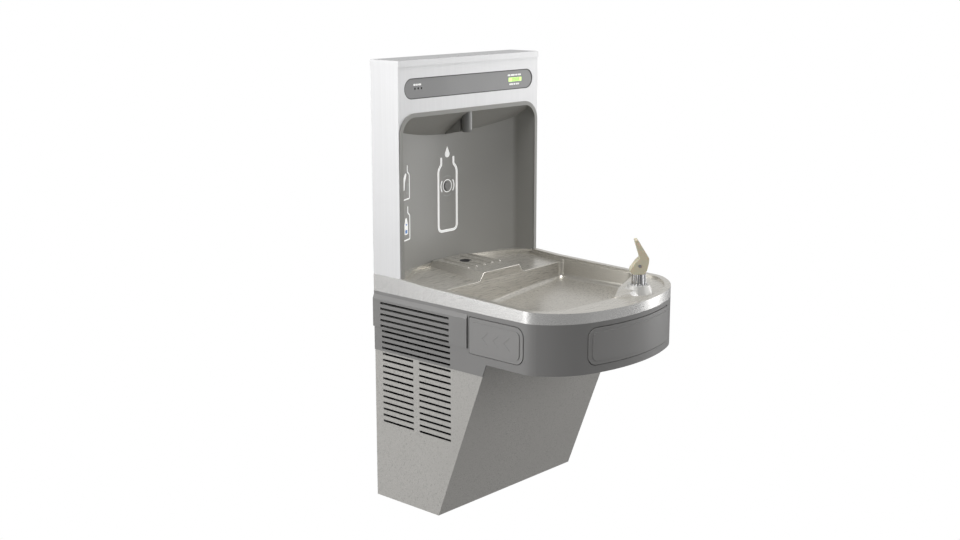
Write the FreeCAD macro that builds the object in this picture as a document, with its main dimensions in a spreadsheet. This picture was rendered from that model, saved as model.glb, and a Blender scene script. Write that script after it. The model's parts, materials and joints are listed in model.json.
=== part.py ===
import FreeCAD, Part
import os
import re
import Sketcher

# Wall-mounted drinking fountain with a bottle-filling alcove, in millimetres.
# Frame: +X to the right as seen from the front, +Y back to the wall, +Z up.
# Origin: on the wall plane, on the centre line, at the bottom of the cabinet.
# Everything lies in front of the wall, at y <= 0.

V = FreeCAD.Vector
doc = FreeCAD.newDocument("drinking_fountain")
sheet = doc.addObject("Spreadsheet::Sheet", "dims")

DIMENSIONS = {
    # overall
    "body_width": 467, "front_depth": 565, "total_height": 1002,
    # plan outline: front arc, shoulder arc, corner arc
    "front_radius": 419.5, "shoulder_radius": 166.5, "shoulder_angle": 18.8, "corner_radius": 60,
    # cabinet below
    "cabinet_inset": 1.5, "cabinet_depth": 196, "seam_height": 350, "panel_sheet": 1.5,
    # apron
    "apron_low": 378, "slope_top_depth": 339, "rim_low": 487, "apron_wall": 3,
    "pod_length": 286.5, "pod_low": 405.5, "pod_high": 482, "pod_proud": 4, "pod_bevel": 12,
    "slot_start": 24, "slot_end": 235, "slot_height": 5,
    "upper_slot_low": 357.7, "upper_slot_pitch": 13.07,
    "lower_slot_low": 184.7, "lower_slot_pitch": 14.42, "slot_gap_start": 121, "slot_gap_end": 139,
    # push bars
    "bar_low": 396, "bar_high": 475, "bar_gap": 1.5, "bar_proud": 1, "bar_sheet": 4,
    "pillow_proud": 1.6, "pillow_margin": 9, "bar_corner": 20,
    "front_bar_half": 143, "side_bar_back": 292, "side_bar_front": 441,
    "bar_travel": 4, "post_radius": 4, "post_height": 410, "front_post_half": 95,
    "front_carrier_depth": 532, "side_carrier_reach": 211, "carrier_sheet": 2, "carrier_high": 424,
    "side_post_back": 325, "side_post_front": 415, "side_switch_depth": 370,
    "switch_half": 10, "switch_body": 9, "plunger_radius": 2, "plunger_gap": 0.3, "plunger_in": 3.7,
    "spring_radius": 6.2, "spring_wire": 0.7,
    # basin
    "rim_back_z": 525, "rim_knee_depth": 161, "rim_knee_z": 520, "rim_front_z": 509,
    "lip_width": 14, "lip_step": 5, "basin_sheet": 2,
    "bowl_half": 215, "bowl_back": 177, "bowl_floor_mid": 452, "bowl_slope": 0.0945, "bowl_taper": 6,
    "ledge_back_z": 518, "ledge_front_z": 507,
    "block_half": 60, "block_draft": 14, "block_gap": 0.3, "block_front": 175, "block_back_z": 529,
    "block_front_z": 525.5,
    "rib_pitch": 27, "rib_radius": 2.8, "rib_back": 25, "rib_front": 124, "rib_rise": 2.4,
    "drain_depth": 66, "drain_hole": 14,
    "bowl_drain_x": -100, "bowl_drain_depth": 250, "bowl_drain_hole": 18,
    # bubbler
    "bubbler_x": 85, "bubbler_depth": 500, "pedestal_base": 32, "pedestal_top": 24,
    "pedestal_z": 523.5, "bubbler_radius": 16.5, "bubbler_height": 24, "shank_radius": 6,
    "shank_low": 478, "guard_width": 28, "guard_round": 2.2, "guard_turn": -48,
    # tower
    "tower_depth": 85, "tower_half": 233, "tower_sheet": 1.5, "cap_low": 989, "cap_over": 1, "cap_nose": 2,
    "curb_radius": 354, "curb_centre": 362, "liner_wall": 2.5,
    "alcove_half": 222, "alcove_top": 878, "alcove_corner": 37, "ceiling_slope": 0.753,
    "wall_depth": 8, "crease_half": 200, "crease_depth": 43, "crease_round": 14,
    "bezel_width": 9, "bezel_proud": 2.5,
    "display_half": 214, "display_low": 917.5, "display_high": 962.5, "display_recess": 1.2,
    "display_plate": 3, "display_border": 5,
    "lcd_left": 130, "lcd_right": 176, "lcd_low": 935.5, "lcd_high": 945,
    "led_first": -180, "led_pitch": 10, "led_z": 940, "led_radius": 2.2,
    "board_depth": 76, "board_sheet": 1.6,
    "nozzle_depth": 71, "nozzle_radius": 12, "nozzle_low": 829, "nozzle_high": 893,
    "fairing_half": 10,
    "sensor_z": 698, "sensor_radius": 9,
    # chassis
    "frame_sheet": 2, "frame_back": 2.2, "rail_width": 28, "rail_inner": 200, "rail_top": 515.5,
    "pan_sheet": 1.5, "shelf_z": 200, "shelf_front": 255, "shelf_right": 25, "leg_front": 180,
    "hanger_low": 400, "hanger_high": 469.7, "hook_top": 470, "hanger_half": 150,
    "hanger_hole": 4, "hanger_hole_x": 120, "hanger_hole_low": 410, "hanger_hole_high": 430,
    "lower_cross_low": 30, "lower_cross_high": 60, "lower_hole_x": 160, "lower_hole_z": 45,
    # cooling system
    "comp_x": -95, "comp_depth": 108, "comp_radius": 52, "comp_low": 13.5, "comp_shoulder": 110,
    "comp_dome": 30, "stub_top": 150, "pipe_radius": 3,
    "cond_left": 165, "cond_right": 205, "cond_back": 30, "cond_front": 185, "cond_top": 188,
    "fan_x": 138, "fan_z": 95, "fan_radius": 66, "shroud_left": 152, "shroud_right": 160,
    "motor_left": 92, "motor_right": 128, "motor_radius": 27, "shaft_radius": 3, "shaft_gap": 0.1,
    "tank_x": -140, "tank_depth": 120, "jacket_radius": 72, "tank_radius": 55, "lid_low": 320.5,
    "lid_high": 335, "tank_low": 215,
    "drier_x": -200, "drier_depth": 70, "drier_low": 60, "drier_high": 150, "drier_radius": 11,
    # water and waste
    "filter_x": 130, "filter_depth": 90, "filter_radius": 38, "filter_low": 235, "head_low": 416,
    "head_high": 450, "tube_radius": 4, "riser_depth": 10, "waste_radius": 16, "waste_wall": 1.6,
    "waste_x": -30,
    "waste_z": 345, "waste_stub": 40, "waste_nut": 14, "trap_low": 290, "drain_tube": 9,
    # general clearances
    "slip": 0.3, "hole_slip": 0.3,
}

for row, (alias, value) in enumerate(DIMENSIONS.items(), 1):
    sheet.set(f"A{row}", alias)
    sheet.set(f"B{row}", str(value))
    sheet.setAlias(f"B{row}", alias)
doc.recompute()

ALIAS = re.compile(r"\b(" + "|".join(sorted(DIMENSIONS, key=len, reverse=True)) + r")\b")
AXES = {"X": V(1, 0, 0), "Y": V(0, 1, 0), "Z": V(0, 0, 1)}
TURNED_TO = {
    "X": FreeCAD.Rotation(V(0, 1, 0), 90),
    "Y": FreeCAD.Rotation(V(1, 0, 0), -90),
    "Z": FreeCAD.Rotation(),
}
finished = {}


def link(obj, prop, expression):
    """Bind a property to an expression over the sheet's named values."""
    obj.setExpression(prop, ALIAS.sub(r"dims.\1", str(expression)))


def num(expression):
    """The present value of an expression over the sheet's named values."""
    return float(sheet.evalExpression(str(expression)))


def node(name, obj):
    """Register a finished sub-part under its own label."""
    obj.Label = name
    finished[name] = obj
    return obj


def place(obj, x, y, z):
    for letter, expression in zip("xyz", (x, y, z)):
        link(obj, f"Placement.Base.{letter}", expression)


def box(name, x, y, z):
    """A box between pairs of named limits (low, high) along each axis."""
    obj = doc.addObject("Part::Box", name)
    for prop, (low, high) in zip(("Length", "Width", "Height"), (x, y, z)):
        link(obj, prop, f"({high}) - ({low})")
    place(obj, x[0], y[0], z[0])
    return obj


def cylinder(name, axis, start, radius, length):
    obj = doc.addObject("Part::Cylinder", name)
    obj.Placement = FreeCAD.Placement(V(), TURNED_TO[axis])
    link(obj, "Radius", radius)
    link(obj, "Height", length)
    place(obj, *start)
    return obj


def cone(name, start, radius_low, radius_high, length):
    obj = doc.addObject("Part::Cone", name)
    link(obj, "Radius1", radius_low)
    link(obj, "Radius2", radius_high)
    link(obj, "Height", length)
    place(obj, *start)
    return obj


def fuse(name, *parts):
    obj = doc.addObject("Part::MultiFuse", name)
    obj.Shapes = list(parts)
    return obj


def cut(name, base, *tools):
    obj = doc.addObject("Part::Cut", name)
    obj.Base = base
    obj.Tool = tools[0] if len(tools) == 1 else fuse(name + "_tools", *tools)
    return obj


def common(name, first, *others):
    for step, other in enumerate(others):
        obj = doc.addObject("Part::Common", f"{name}_{step}")
        obj.Base = first
        obj.Tool = other
        first = obj
    return first


def group(name, *parts):
    obj = doc.addObject("Part::Compound", name)
    obj.Links = list(parts)
    return obj


def mirror(name, source):
    obj = doc.addObject("Part::Mirroring", name)
    obj.Source = source
    obj.Normal = AXES["X"]
    return obj


# ---- sketched prisms ----

PLANES = {"XY": ("XY_Plane", 1), "XZ": ("XZ_Plane", -1), "YZ": ("YZ_Plane", 1)}


def new_sketch(body, plane, level):
    """A sketch on one of the body's origin planes, moved to a level along the plane's axis."""
    role, sense = PLANES[plane]
    sketch = body.newObject("Sketcher::SketchObject", body.Name + "_sketch")
    support = next(f for f in body.Origin.OriginFeatures if f.Role == role)
    sketch.AttachmentSupport = [(support, "")]
    sketch.MapMode = "FlatFace"
    link(sketch, "AttachmentOffset.Base.z", f"{sense} * ({level})")
    return sketch


def add_loop(sketch, points):
    """A closed chain of straight lines through named points."""
    first = sketch.GeometryCount
    here = [V(num(a), num(b), 0) for a, b in points]
    count = len(points)
    for i in range(count):
        sketch.addGeometry(Part.LineSegment(here[i], here[(i + 1) % count]), False)
    for i, (a, b) in enumerate(points):
        after = first + (i + 1) % count
        sketch.addConstraint(Sketcher.Constraint("Coincident", first + i, 2, after, 1))
        for kind, value, expression in (("DistanceX", here[i].x, a), ("DistanceY", here[i].y, b)):
            index = sketch.addConstraint(Sketcher.Constraint(kind, -1, 1, first + i, 1, value))
            link(sketch, f"Constraints[{index}]", expression)


def pad(body, sketch, length, reverse=False, taper=None):
    feature = body.newObject("PartDesign::Pad", body.Name + "_pad")
    feature.Profile = sketch
    link(feature, "Length", length)
    feature.Reversed = reverse
    if taper:
        link(feature, "TaperAngle", taper)
    sketch.Visibility = False
    return feature


def prism(name, plane, low, high, *loops):
    """A straight prism over one or more closed loops, between two levels of the plane's axis."""
    body = doc.addObject("PartDesign::Body", name)
    start = high if plane == "XZ" else low
    sketch = new_sketch(body, plane, start)
    for loop in loops:
        add_loop(sketch, loop)
    pad(body, sketch, f"({high}) - ({low})")
    return body


def rectangle(left, right, low, high):
    return [(left, low), (right, low), (right, high), (left, high)]


def round_edges(body, radius, pick):
    """Fillet the edges of the body's last feature that a test picks."""
    doc.recompute()
    tip = body.Tip
    names = [f"Edge{i}" for i, edge in enumerate(tip.Shape.Edges, 1) if pick(edge)]
    feature = body.newObject("PartDesign::Fillet", body.Name + "_round")
    feature.Base = (tip, names)
    link(feature, "Radius", radius)
    return feature


def runs(axis, where=lambda centre: True):
    """A test for edges that run within about 18 degrees of an axis, and whose middle passes a test."""
    def pick(edge):
        if len(edge.Vertexes) != 2:
            return False
        start, end = (v.Point for v in edge.Vertexes)
        along = abs((end - start).normalize().dot(AXES[axis])) > 0.95
        return along and where((start + end) * 0.5)
    return pick


def outline_prism(name, inset, low, high, back="0"):
    """The plan outline, moved in by an inset, as an upright prism.

    Straight sides run into a corner arc, a shoulder arc and one wide front arc, each tangent to
    the next, and the back is straight.
    """
    body = doc.addObject("PartDesign::Body", name)
    sketch = new_sketch(body, "XY", low)
    half = num(f"body_width / 2 - ({inset})")
    corner = num(f"corner_radius - ({inset})")
    shoulder = num(f"shoulder_radius - ({inset})")
    front = num(f"front_radius - ({inset})")
    turn = num("shoulder_angle * 3.14159265358979 / 180")
    front_y = num("front_radius - front_depth")
    shoulder_x = num("(front_radius - shoulder_radius) * sin(shoulder_angle)")
    shoulder_y = front_y - num("(front_radius - shoulder_radius) * cos(shoulder_angle)")
    corner_x = half - corner
    corner_y = shoulder_y - num(f"sqrt((shoulder_radius - corner_radius)^2"
                                f" - (body_width / 2 - corner_radius)^2"
                                f" + 2 * (body_width / 2 - corner_radius)"
                                f" * (front_radius - shoulder_radius) * sin(shoulder_angle)"
                                f" - ((front_radius - shoulder_radius) * sin(shoulder_angle))^2)")
    lean = V(1, 0, 0).getAngle(V(corner_x - shoulder_x, corner_y - shoulder_y, 0))
    quarter = num("3.14159265358979 / 2")
    back_y = num(f"-({back})")

    def arc(x, y, radius, start, end):
        circle = Part.Circle(V(x, y, 0), V(0, 0, 1), radius)
        sketch.addGeometry(Part.ArcOfCircle(circle, start, end), False)

    sketch.addGeometry(Part.LineSegment(V(half, back_y, 0), V(half, corner_y, 0)), False)
    arc(corner_x, corner_y, corner, -lean, 0)
    arc(shoulder_x, shoulder_y, shoulder, turn - quarter, -lean)
    arc(0, front_y, front, -quarter - turn, turn - quarter)
    arc(-shoulder_x, shoulder_y, shoulder, 2 * quarter + lean, 3 * quarter - turn)
    arc(-corner_x, corner_y, corner, 2 * quarter, 2 * quarter + lean)
    sketch.addGeometry(Part.LineSegment(V(-half, corner_y, 0), V(-half, back_y, 0)), False)
    sketch.addGeometry(Part.LineSegment(V(-half, back_y, 0), V(half, back_y, 0)), False)
    joints = ((0, 2, 1, 2), (1, 1, 2, 2), (2, 1, 3, 2), (3, 1, 4, 2), (4, 1, 5, 2), (5, 1, 6, 1))
    for joint in joints:
        sketch.addConstraint(Sketcher.Constraint("Tangent", *joint))
    sketch.addConstraint(Sketcher.Constraint("Coincident", 6, 2, 7, 1))
    sketch.addConstraint(Sketcher.Constraint("Coincident", 7, 2, 0, 1))
    sketch.addConstraint(Sketcher.Constraint("Vertical", 0))
    sketch.addConstraint(Sketcher.Constraint("Vertical", 6))
    sketch.addConstraint(Sketcher.Constraint("Horizontal", 7))
    junction = f"(front_radius - ({inset})) * sin(shoulder_angle)"
    measures = (
        ("DistanceX", (-1, 1, 0, 1), half, f"body_width / 2 - ({inset})"),
        ("DistanceX", (-1, 1, 7, 1), -half, f"-(body_width / 2 - ({inset}))"),
        ("DistanceY", (-1, 1, 0, 1), back_y, f"-({back})"),
        ("Radius", (1,), corner, f"corner_radius - ({inset})"),
        ("Radius", (5,), corner, f"corner_radius - ({inset})"),
        ("Radius", (2,), shoulder, f"shoulder_radius - ({inset})"),
        ("Radius", (4,), shoulder, f"shoulder_radius - ({inset})"),
        ("Radius", (3,), front, f"front_radius - ({inset})"),
        ("DistanceX", (-1, 1, 3, 3), 0, "0"),
        ("DistanceY", (-1, 1, 3, 3), front_y, "front_radius - front_depth"),
        ("DistanceX", (-1, 1, 3, 2), num(junction), junction),
        ("DistanceX", (-1, 1, 3, 1), -num(junction), f"-{junction}"),
    )
    for kind, where, value, expression in measures:
        index = sketch.addConstraint(Sketcher.Constraint(kind, *where, value))
        link(sketch, f"Constraints[{index}]", expression)
    pad(body, sketch, f"({high}) - ({low})")
    return body


def pipe(route, radius, bend):
    """A round bar along straight runs joined by tangent arcs; route holds named places."""
    spots = [V(*(num(value) for value in spot)) for spot in route]
    edges, last = [], spots[0]
    for before, here, after in zip(spots, spots[1:], spots[2:]):
        inward, outward = (here - before).normalize(), (after - here).normalize()
        reach = bend * abs(inward.cross(outward).Length / (1 + inward.dot(outward)))
        start, end = here - inward * reach, here + outward * reach
        middle_way = (outward - inward).normalize()
        centre = start + (outward - inward * inward.dot(outward)).normalize() * bend
        edges.append(Part.makeLine(last, start))
        edges.append(Part.Arc(start, centre - middle_way * bend, end).toShape())
        last = end
    edges.append(Part.makeLine(last, spots[-1]))
    spine = Part.Wire(edges)
    ring = Part.Wire(Part.makeCircle(radius, spots[0], (spots[1] - spots[0]).normalize()))
    return spine.makePipeShell([ring], True, False)


def feature(name, shape):
    obj = doc.addObject("Part::Feature", name)
    obj.Shape = shape
    obj.Placement = FreeCAD.Placement()
    return obj


# ---- shared shapes ----

def rim_profile(name, drop, depth):
    """Everything under the rim's sloping top line, lowered by a drop, for a width of the body."""
    past = "front_depth + 10"
    slope = "(rim_knee_z - rim_front_z) / (front_depth - rim_knee_depth)"
    points = [
        ("5", f"rim_back_z - ({drop})"),
        ("-tower_depth", f"rim_back_z - ({drop})"),
        ("-rim_knee_depth", f"rim_knee_z - ({drop})"),
        (f"-({past})", f"rim_front_z - 10 * {slope} - ({drop})"),
        (f"-({past})", depth),
        ("5", depth),
    ]
    return prism(name, "YZ", "-body_width / 2 - 1", "body_width / 2 + 1", points)


def curb_cylinder(name, grow):
    """The upright cylinder whose back is the foot and the wall of the alcove."""
    return cylinder(name, "Z", ("0", "-curb_centre", "apron_low"),
                    f"curb_radius + ({grow})", "total_height - apron_low")


def bowl_solid(name, grow):
    """The bowl's hollow, or with grow its outside: drafted walls over a floor that falls to the left."""
    body = doc.addObject("PartDesign::Body", name)
    sketch = new_sketch(body, "XY", "rim_knee_z")
    add_loop(sketch, [
        (f"bowl_half + ({grow})", f"-bowl_back + ({grow})"),
        (f"-bowl_half - ({grow})", f"-bowl_back + ({grow})"),
        (f"-bowl_half - ({grow})", f"-(bubbler_depth - 22) - ({grow})"),
        ("bubbler_x - 78", f"-(bubbler_depth - 5) - ({grow})"),
        ("bubbler_x - 1", f"-(bubbler_depth - 52) - ({grow})"),
        ("bubbler_x + 75", f"-(bubbler_depth - 83) - ({grow})"),
        (f"bowl_half + ({grow})", f"-(bubbler_depth - 105) - ({grow})"),
    ])
    pad(body, sketch, "rim_knee_z - apron_low", reverse=True, taper="-bowl_taper")
    round_edges(body, f"80 + ({grow})", runs("Z", lambda c: c.x < -150 and c.y < -300))
    round_edges(body, f"24 + ({grow})", runs("Z", lambda c: c.x > -150 and c.y < -300))
    round_edges(body, f"12 + ({grow})", runs("Z", lambda c: c.y > -300))
    floor = new_sketch(body, "XZ", "0")
    wide = "body_width"
    add_loop(floor, [
        (f"-{wide}", "apron_low - 10"), (wide, "apron_low - 10"),
        (wide, f"bowl_floor_mid + bowl_slope * {wide} - ({grow})"),
        (f"-{wide}", f"bowl_floor_mid - bowl_slope * {wide} - ({grow})"),
    ])
    slab = body.newObject("PartDesign::Pocket", name + "_floor")
    slab.Profile = floor
    slab.Type = "ThroughAll"
    slab.Reversed = True
    floor.Visibility = False
    low = num("bowl_floor_mid")
    round_edges(body, f"12 + ({grow})", lambda edge: edge.BoundBox.ZMax < low + 40)
    return body


def arch_prism(name, grow, front, back):
    """The alcove's mouth, square below and rounded at its two top corners, as a prism along Y."""
    body = prism(name, "XZ", front, back, rectangle(
        f"-alcove_half - ({grow})", f"alcove_half + ({grow})",
        "rim_back_z", f"alcove_top + ({grow})"))
    round_edges(body, f"alcove_corner + ({grow})", runs("Y", lambda c: c.z > num("alcove_top - 20")))
    return body


def niche_prism(name, grow):
    """The alcove in plan: one wide curved back wall, and side walls that splay out to the mouth."""
    body = doc.addObject("PartDesign::Body", name)
    sketch = new_sketch(body, "XY", "rim_back_z")
    corners = [("crease_half + ({0})", "-crease_depth + ({0})"),
               ("-crease_half - ({0})", "-crease_depth + ({0})"),
               ("-alcove_half - ({0})", "-tower_depth - 1"), ("-alcove_half - ({0})", "-tower_depth - 15"),
               ("alcove_half + ({0})", "-tower_depth - 15"), ("alcove_half + ({0})", "-tower_depth - 1")]
    spots = [(a.format(grow), b.format(grow)) for a, b in corners]
    here = [V(num(a), num(b), 0) for a, b in spots]
    top = V(0, num(f"-wall_depth + ({grow})"), 0)
    sketch.addGeometry(Part.Arc(here[0], top, here[1]), False)
    for start, end in zip(here[1:], here[2:] + here[:1]):
        sketch.addGeometry(Part.LineSegment(start, end), False)
    for i in range(len(spots)):
        after = (i + 1) % len(spots)
        sketch.addConstraint(Sketcher.Constraint("Coincident", i, 2, after, 1))
        for kind, value, expression in (("DistanceX", here[i].x, spots[i][0]),
                                        ("DistanceY", here[i].y, spots[i][1])):
            index = sketch.addConstraint(Sketcher.Constraint(kind, -1, 1, i, 1, value))
            link(sketch, f"Constraints[{index}]", expression)
    sag = f"(-wall_depth + crease_depth)"
    radius = f"((crease_half + ({grow}))^2 + {sag}^2) / (2 * {sag})"
    index = sketch.addConstraint(Sketcher.Constraint("Radius", 0, num(radius)))
    link(sketch, f"Constraints[{index}]", radius)
    pad(body, sketch, "cap_low - rim_back_z")
    crease = num("-crease_depth - 8")
    round_edges(body, f"crease_round + ({grow})", runs("Z", lambda c: c.y > crease))
    return body


def under_ceiling(name, rise):
    """The space below the alcove's ceiling, which falls from the mouth to the back wall."""
    return prism(name, "YZ", "-alcove_half - 20", "alcove_half + 20", [
        ("-tower_depth - 15", "rim_back_z"),
        ("-tower_depth - 15", f"alcove_top + 15 * ceiling_slope + ({rise})"),
        ("0", f"alcove_top - tower_depth * ceiling_slope + ({rise})"),
        ("0", "rim_back_z"),
    ])


def stadium(name, margin, front, back):
    """A long plate with round ends, in front view as high as the display."""
    middle = "(display_low + display_high) / 2"
    radius = f"(display_high - display_low) / 2 + ({margin})"
    reach = "display_half - (display_high - display_low) / 2"
    bar = box(name + "_bar", (f"-({reach})", reach), (front, back),
              (f"{middle} - ({radius})", f"{middle} + ({radius})"))
    ends = [cylinder(f"{name}_end{i}", "Y", (f"{side} * ({reach})", front, middle), radius,
                     f"({back}) - ({front})") for i, side in enumerate((-1, 1))]
    return fuse(name, bar, *ends)


# ---- cabinet ----

def slot_rows(low, pitch, count, columns):
    rows = []
    for row in range(count):
        middle = f"{low} + {row} * {pitch}"
        for start, end in columns:
            rows.append(rectangle(f"-{end}", f"-{start}", f"{middle} - slot_height / 2",
                                  f"{middle} + slot_height / 2"))
    return rows


def make_lower_panel():
    slope = "(slope_top_depth - cabinet_depth) / apron_low"
    half = "body_width / 2 - cabinet_inset"

    def wrap(name, inset, low, high, back):
        return prism(name, "YZ", f"-({half} - ({inset}))", f"{half} - ({inset})", [
            (back, low), (f"-(cabinet_depth + ({low}) * {slope}) + 1.07 * ({inset})", low),
            (f"-(cabinet_depth + ({high}) * {slope}) + 1.07 * ({inset})", high), (back, high)])

    outside = wrap("lower_outside", "0", "0", "apron_low", "0")
    inside = wrap("lower_inside", "panel_sheet", "-10", "apron_low + 10", "10")
    trims = [box(f"lower_trim_{i}", (a, b), ("-front_depth", "10"), ("seam_height", "apron_low + 1"))
             for i, (a, b) in enumerate((("-body_width / 2 - 1", f"-({half}) + panel_sheet"),
                                         (f"{half} - panel_sheet", "body_width / 2 + 1")))]
    slots = prism("lower_slots", "YZ", "-body_width / 2 - 1", "body_width / 2 + 1", *slot_rows(
        "lower_slot_low", "lower_slot_pitch", 12,
        (("slot_start", "slot_gap_start"), ("slot_gap_end", "slot_end"))))
    node("lower_panel", cut("lower_panel_cut", outside, inside, *trims, slots))


def make_base_pan():
    half = "body_width / 2 - cabinet_inset - panel_sheet - 0.2"
    floor = box("pan_floor", (f"-({half})", half), ("-cabinet_depth + 2", "0"), ("0", "pan_sheet"))
    back = box("pan_back", ("-rail_inner + 2", "rail_inner - 2"), ("-pan_sheet", "0"), ("0", "22"))
    sides = [box(f"pan_side_{i}", (a, b), ("-cabinet_depth + 6", "-rail_width - 3"), ("0", "20"))
             for i, (a, b) in enumerate(((f"-({half})", f"-({half}) + pan_sheet"),
                                         (f"{half} - pan_sheet", half)))]
    node("base_pan", fuse("base_pan_fuse", floor, back, *sides))


def make_back_frame():
    outer = "body_width / 2 - apron_wall"
    back = "-frame_back"
    parts = []
    for side, sense in (("left", -1), ("right", 1)):
        flange = box(f"rail_{side}", (f"{sense} * ({outer}) - frame_sheet * {int(sense > 0)}",
                                      f"{sense} * ({outer}) + frame_sheet * {int(sense < 0)}"),
                     (f"{back} - rail_width", back), ("pan_sheet", "rail_top"))
        ends = (f"-({outer})", "-rail_inner") if sense < 0 else ("rail_inner", outer)
        web = box(f"rail_back_{side}", ends, (f"{back} - frame_sheet", back), ("pan_sheet", "rail_top"))
        parts += [flange, web]
    across = ("-rail_inner", "rail_inner")
    lower = box("lower_cross", across, (f"{back} - frame_sheet", back),
                ("lower_cross_low", "lower_cross_high"))
    hook_back = box("hook_back", across, (f"{back} - frame_sheet", back), ("hanger_low + 44", "hook_top"))
    hook_cap = box("hook_cap", across, (f"{back} - 4 * frame_sheet - 1", back),
                   ("hook_top", "hook_top + frame_sheet"))
    hook_front = box("hook_front", across, (f"{back} - 4 * frame_sheet - 1", f"{back} - 3 * frame_sheet - 1"),
                     ("hanger_low", "hook_top"))
    solid = fuse("back_frame_fuse", *parts, lower, hook_back, hook_cap, hook_front)
    holes = [cylinder(f"lower_hole_{i}", "Y", (f"{side} * lower_hole_x", "-20", "lower_hole_z"),
                      "hanger_hole", "20") for i, side in enumerate((-1, 1))]
    cord = cylinder("cord_hole", "Y", ("60", "-20", "lower_hole_z"), "9", "20")
    node("back_frame", cut("back_frame_cut", solid, *holes, cord))


def make_wall_hanger():
    across = ("-hanger_half", "hanger_half")
    leaf = box("hanger_leaf", across, ("-frame_sheet", "0"), ("hanger_low", "hanger_low + 41"))
    step = box("hanger_step", across, ("-7.5", "0"), ("hanger_low + 39", "hanger_low + 41"))
    lip = box("hanger_lip", across, ("-7.5", "-5.5"), ("hanger_low + 39", "hanger_high"))
    holes = [cylinder(f"hanger_hole_{i}{k}", "Y", (f"{side} * hanger_hole_x", "-5", level),
                      "hanger_hole", "10")
             for i, side in enumerate((-1, 1))
             for k, level in enumerate(("hanger_hole_low", "hanger_hole_high"))]
    node("wall_hanger", cut("wall_hanger_cut", fuse("hanger_plate", leaf, step, lip), *holes))


def make_shelf():
    left = "-(body_width / 2 - apron_wall - frame_sheet)"
    top = box("shelf_top", (left, "shelf_right"), ("-shelf_front", "-6"),
              ("shelf_z", "shelf_z + pan_sheet"))
    leg = box("shelf_leg", ("shelf_right - pan_sheet", "shelf_right"), ("-leg_front", "-70"),
              ("pan_sheet", "shelf_z + 1"))
    holes = [cylinder("shelf_hole_a", "Z", ("drier_x", "-drier_depth", "shelf_z - 5"), "7", "12"),
             cylinder("shelf_hole_b", "Z", ("-50", "-60", "shelf_z - 5"), "8", "12")]
    node("shelf", cut("shelf_cut", fuse("shelf_fuse", top, leg), *holes))


# ---- apron and push bars ----

def front_window(name, margin, front, back):
    body = prism(name, "XZ", front, back, rectangle(
        f"-front_bar_half - ({margin})", f"front_bar_half + ({margin})",
        f"bar_low - ({margin})", f"bar_high + ({margin})"))
    round_edges(body, f"bar_corner + ({margin})", runs("Y"))
    return body


def side_window(name, margin, left, right, back_corner="3"):
    """The side bar's outline: small corners at the back and large ones at the front."""
    body = prism(name, "YZ", left, right, rectangle(
        f"-side_bar_front - ({margin})", f"-side_bar_back + ({margin})",
        f"bar_low - ({margin})", f"bar_high + ({margin})"))
    split = num("-(side_bar_front + side_bar_back) / 2")
    round_edges(body, f"bar_corner + ({margin})", runs("X", lambda c: c.y < split))
    round_edges(body, back_corner, runs("X", lambda c: c.y > split))
    return body


def make_apron():
    half = "body_width / 2"
    outside = outline_prism("apron_outside", "0", "apron_low", "rim_low")
    inside = outline_prism("apron_inside", "apron_wall", "apron_low + apron_wall", "rim_low + 5")
    open_back = box("apron_open", (f"-({half} - apron_wall)", f"{half} - apron_wall"),
                    ("-slope_top_depth + 4", "5"), ("seam_height", "rim_low + 5"))
    cheeks, pods = [], []
    for side, sense in (("left", -1), ("right", 1)):
        low, high = sorted((f"{sense} * {half}", f"{sense} * ({half} - apron_wall)"), key=num)
        foot = "slope_top_depth - (apron_low - seam_height) * (slope_top_depth - cabinet_depth) / apron_low"
        cheeks.append(prism(f"cheek_{side}", "YZ", low, high, [
            ("0", "seam_height"), (f"-({foot})", "seam_height"),
            ("-slope_top_depth", "apron_low"), ("-slope_top_depth", "apron_low + 1"),
            ("0", "apron_low + 1")]))
        points = [(f"{sense} * ({half} - 1)", "pod_low"),
                  (f"{sense} * ({half} + pod_proud)", "pod_low"),
                  (f"{sense} * ({half} + pod_proud)", "pod_high - pod_bevel"),
                  (f"{sense} * ({half} - 1)", "pod_high")]
        pods.append(prism(f"pod_{side}", "XZ", "-pod_length", "0", points))
    shell = cut("apron_shell", outside, inside)
    solid = fuse("apron_fuse", shell, *cheeks, *pods)
    slots = prism("apron_slots", "YZ", f"-({half}) - 10", f"{half} + 10", *slot_rows(
        "upper_slot_low", "upper_slot_pitch", 9, (("slot_start", "slot_end"),)))
    front = front_window("front_window", "bar_gap", "-front_depth - 5", "-front_depth + 90")
    sides = [side_window("left_window", "bar_gap", f"-({half}) - 5", f"-({half}) + 15"),
             side_window("right_window", "bar_gap", f"{half} - 15", f"{half} + 5")]
    node("apron", cut("apron_cut", solid, open_back, slots, front, *sides))


def spring(name, start, axis, free):
    """A close coil around a guide post."""
    coil = doc.addObject("Part::Helix", name + "_coil")
    coil.Placement = FreeCAD.Placement(V(), TURNED_TO[axis])
    link(coil, "Radius", "spring_radius")
    link(coil, "Pitch", f"({free}) / 5")
    link(coil, "Height", free)
    place(coil, *start)
    doc.recompute()
    head = coil.Shape.Edges[0]
    ring = Part.Wire(Part.makeCircle(num("spring_wire"), head.valueAt(head.FirstParameter),
                                     head.tangentAt(head.FirstParameter)))
    return feature(name, Part.Wire(coil.Shape.Edges).makePipeShell([ring], True, True))


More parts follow.
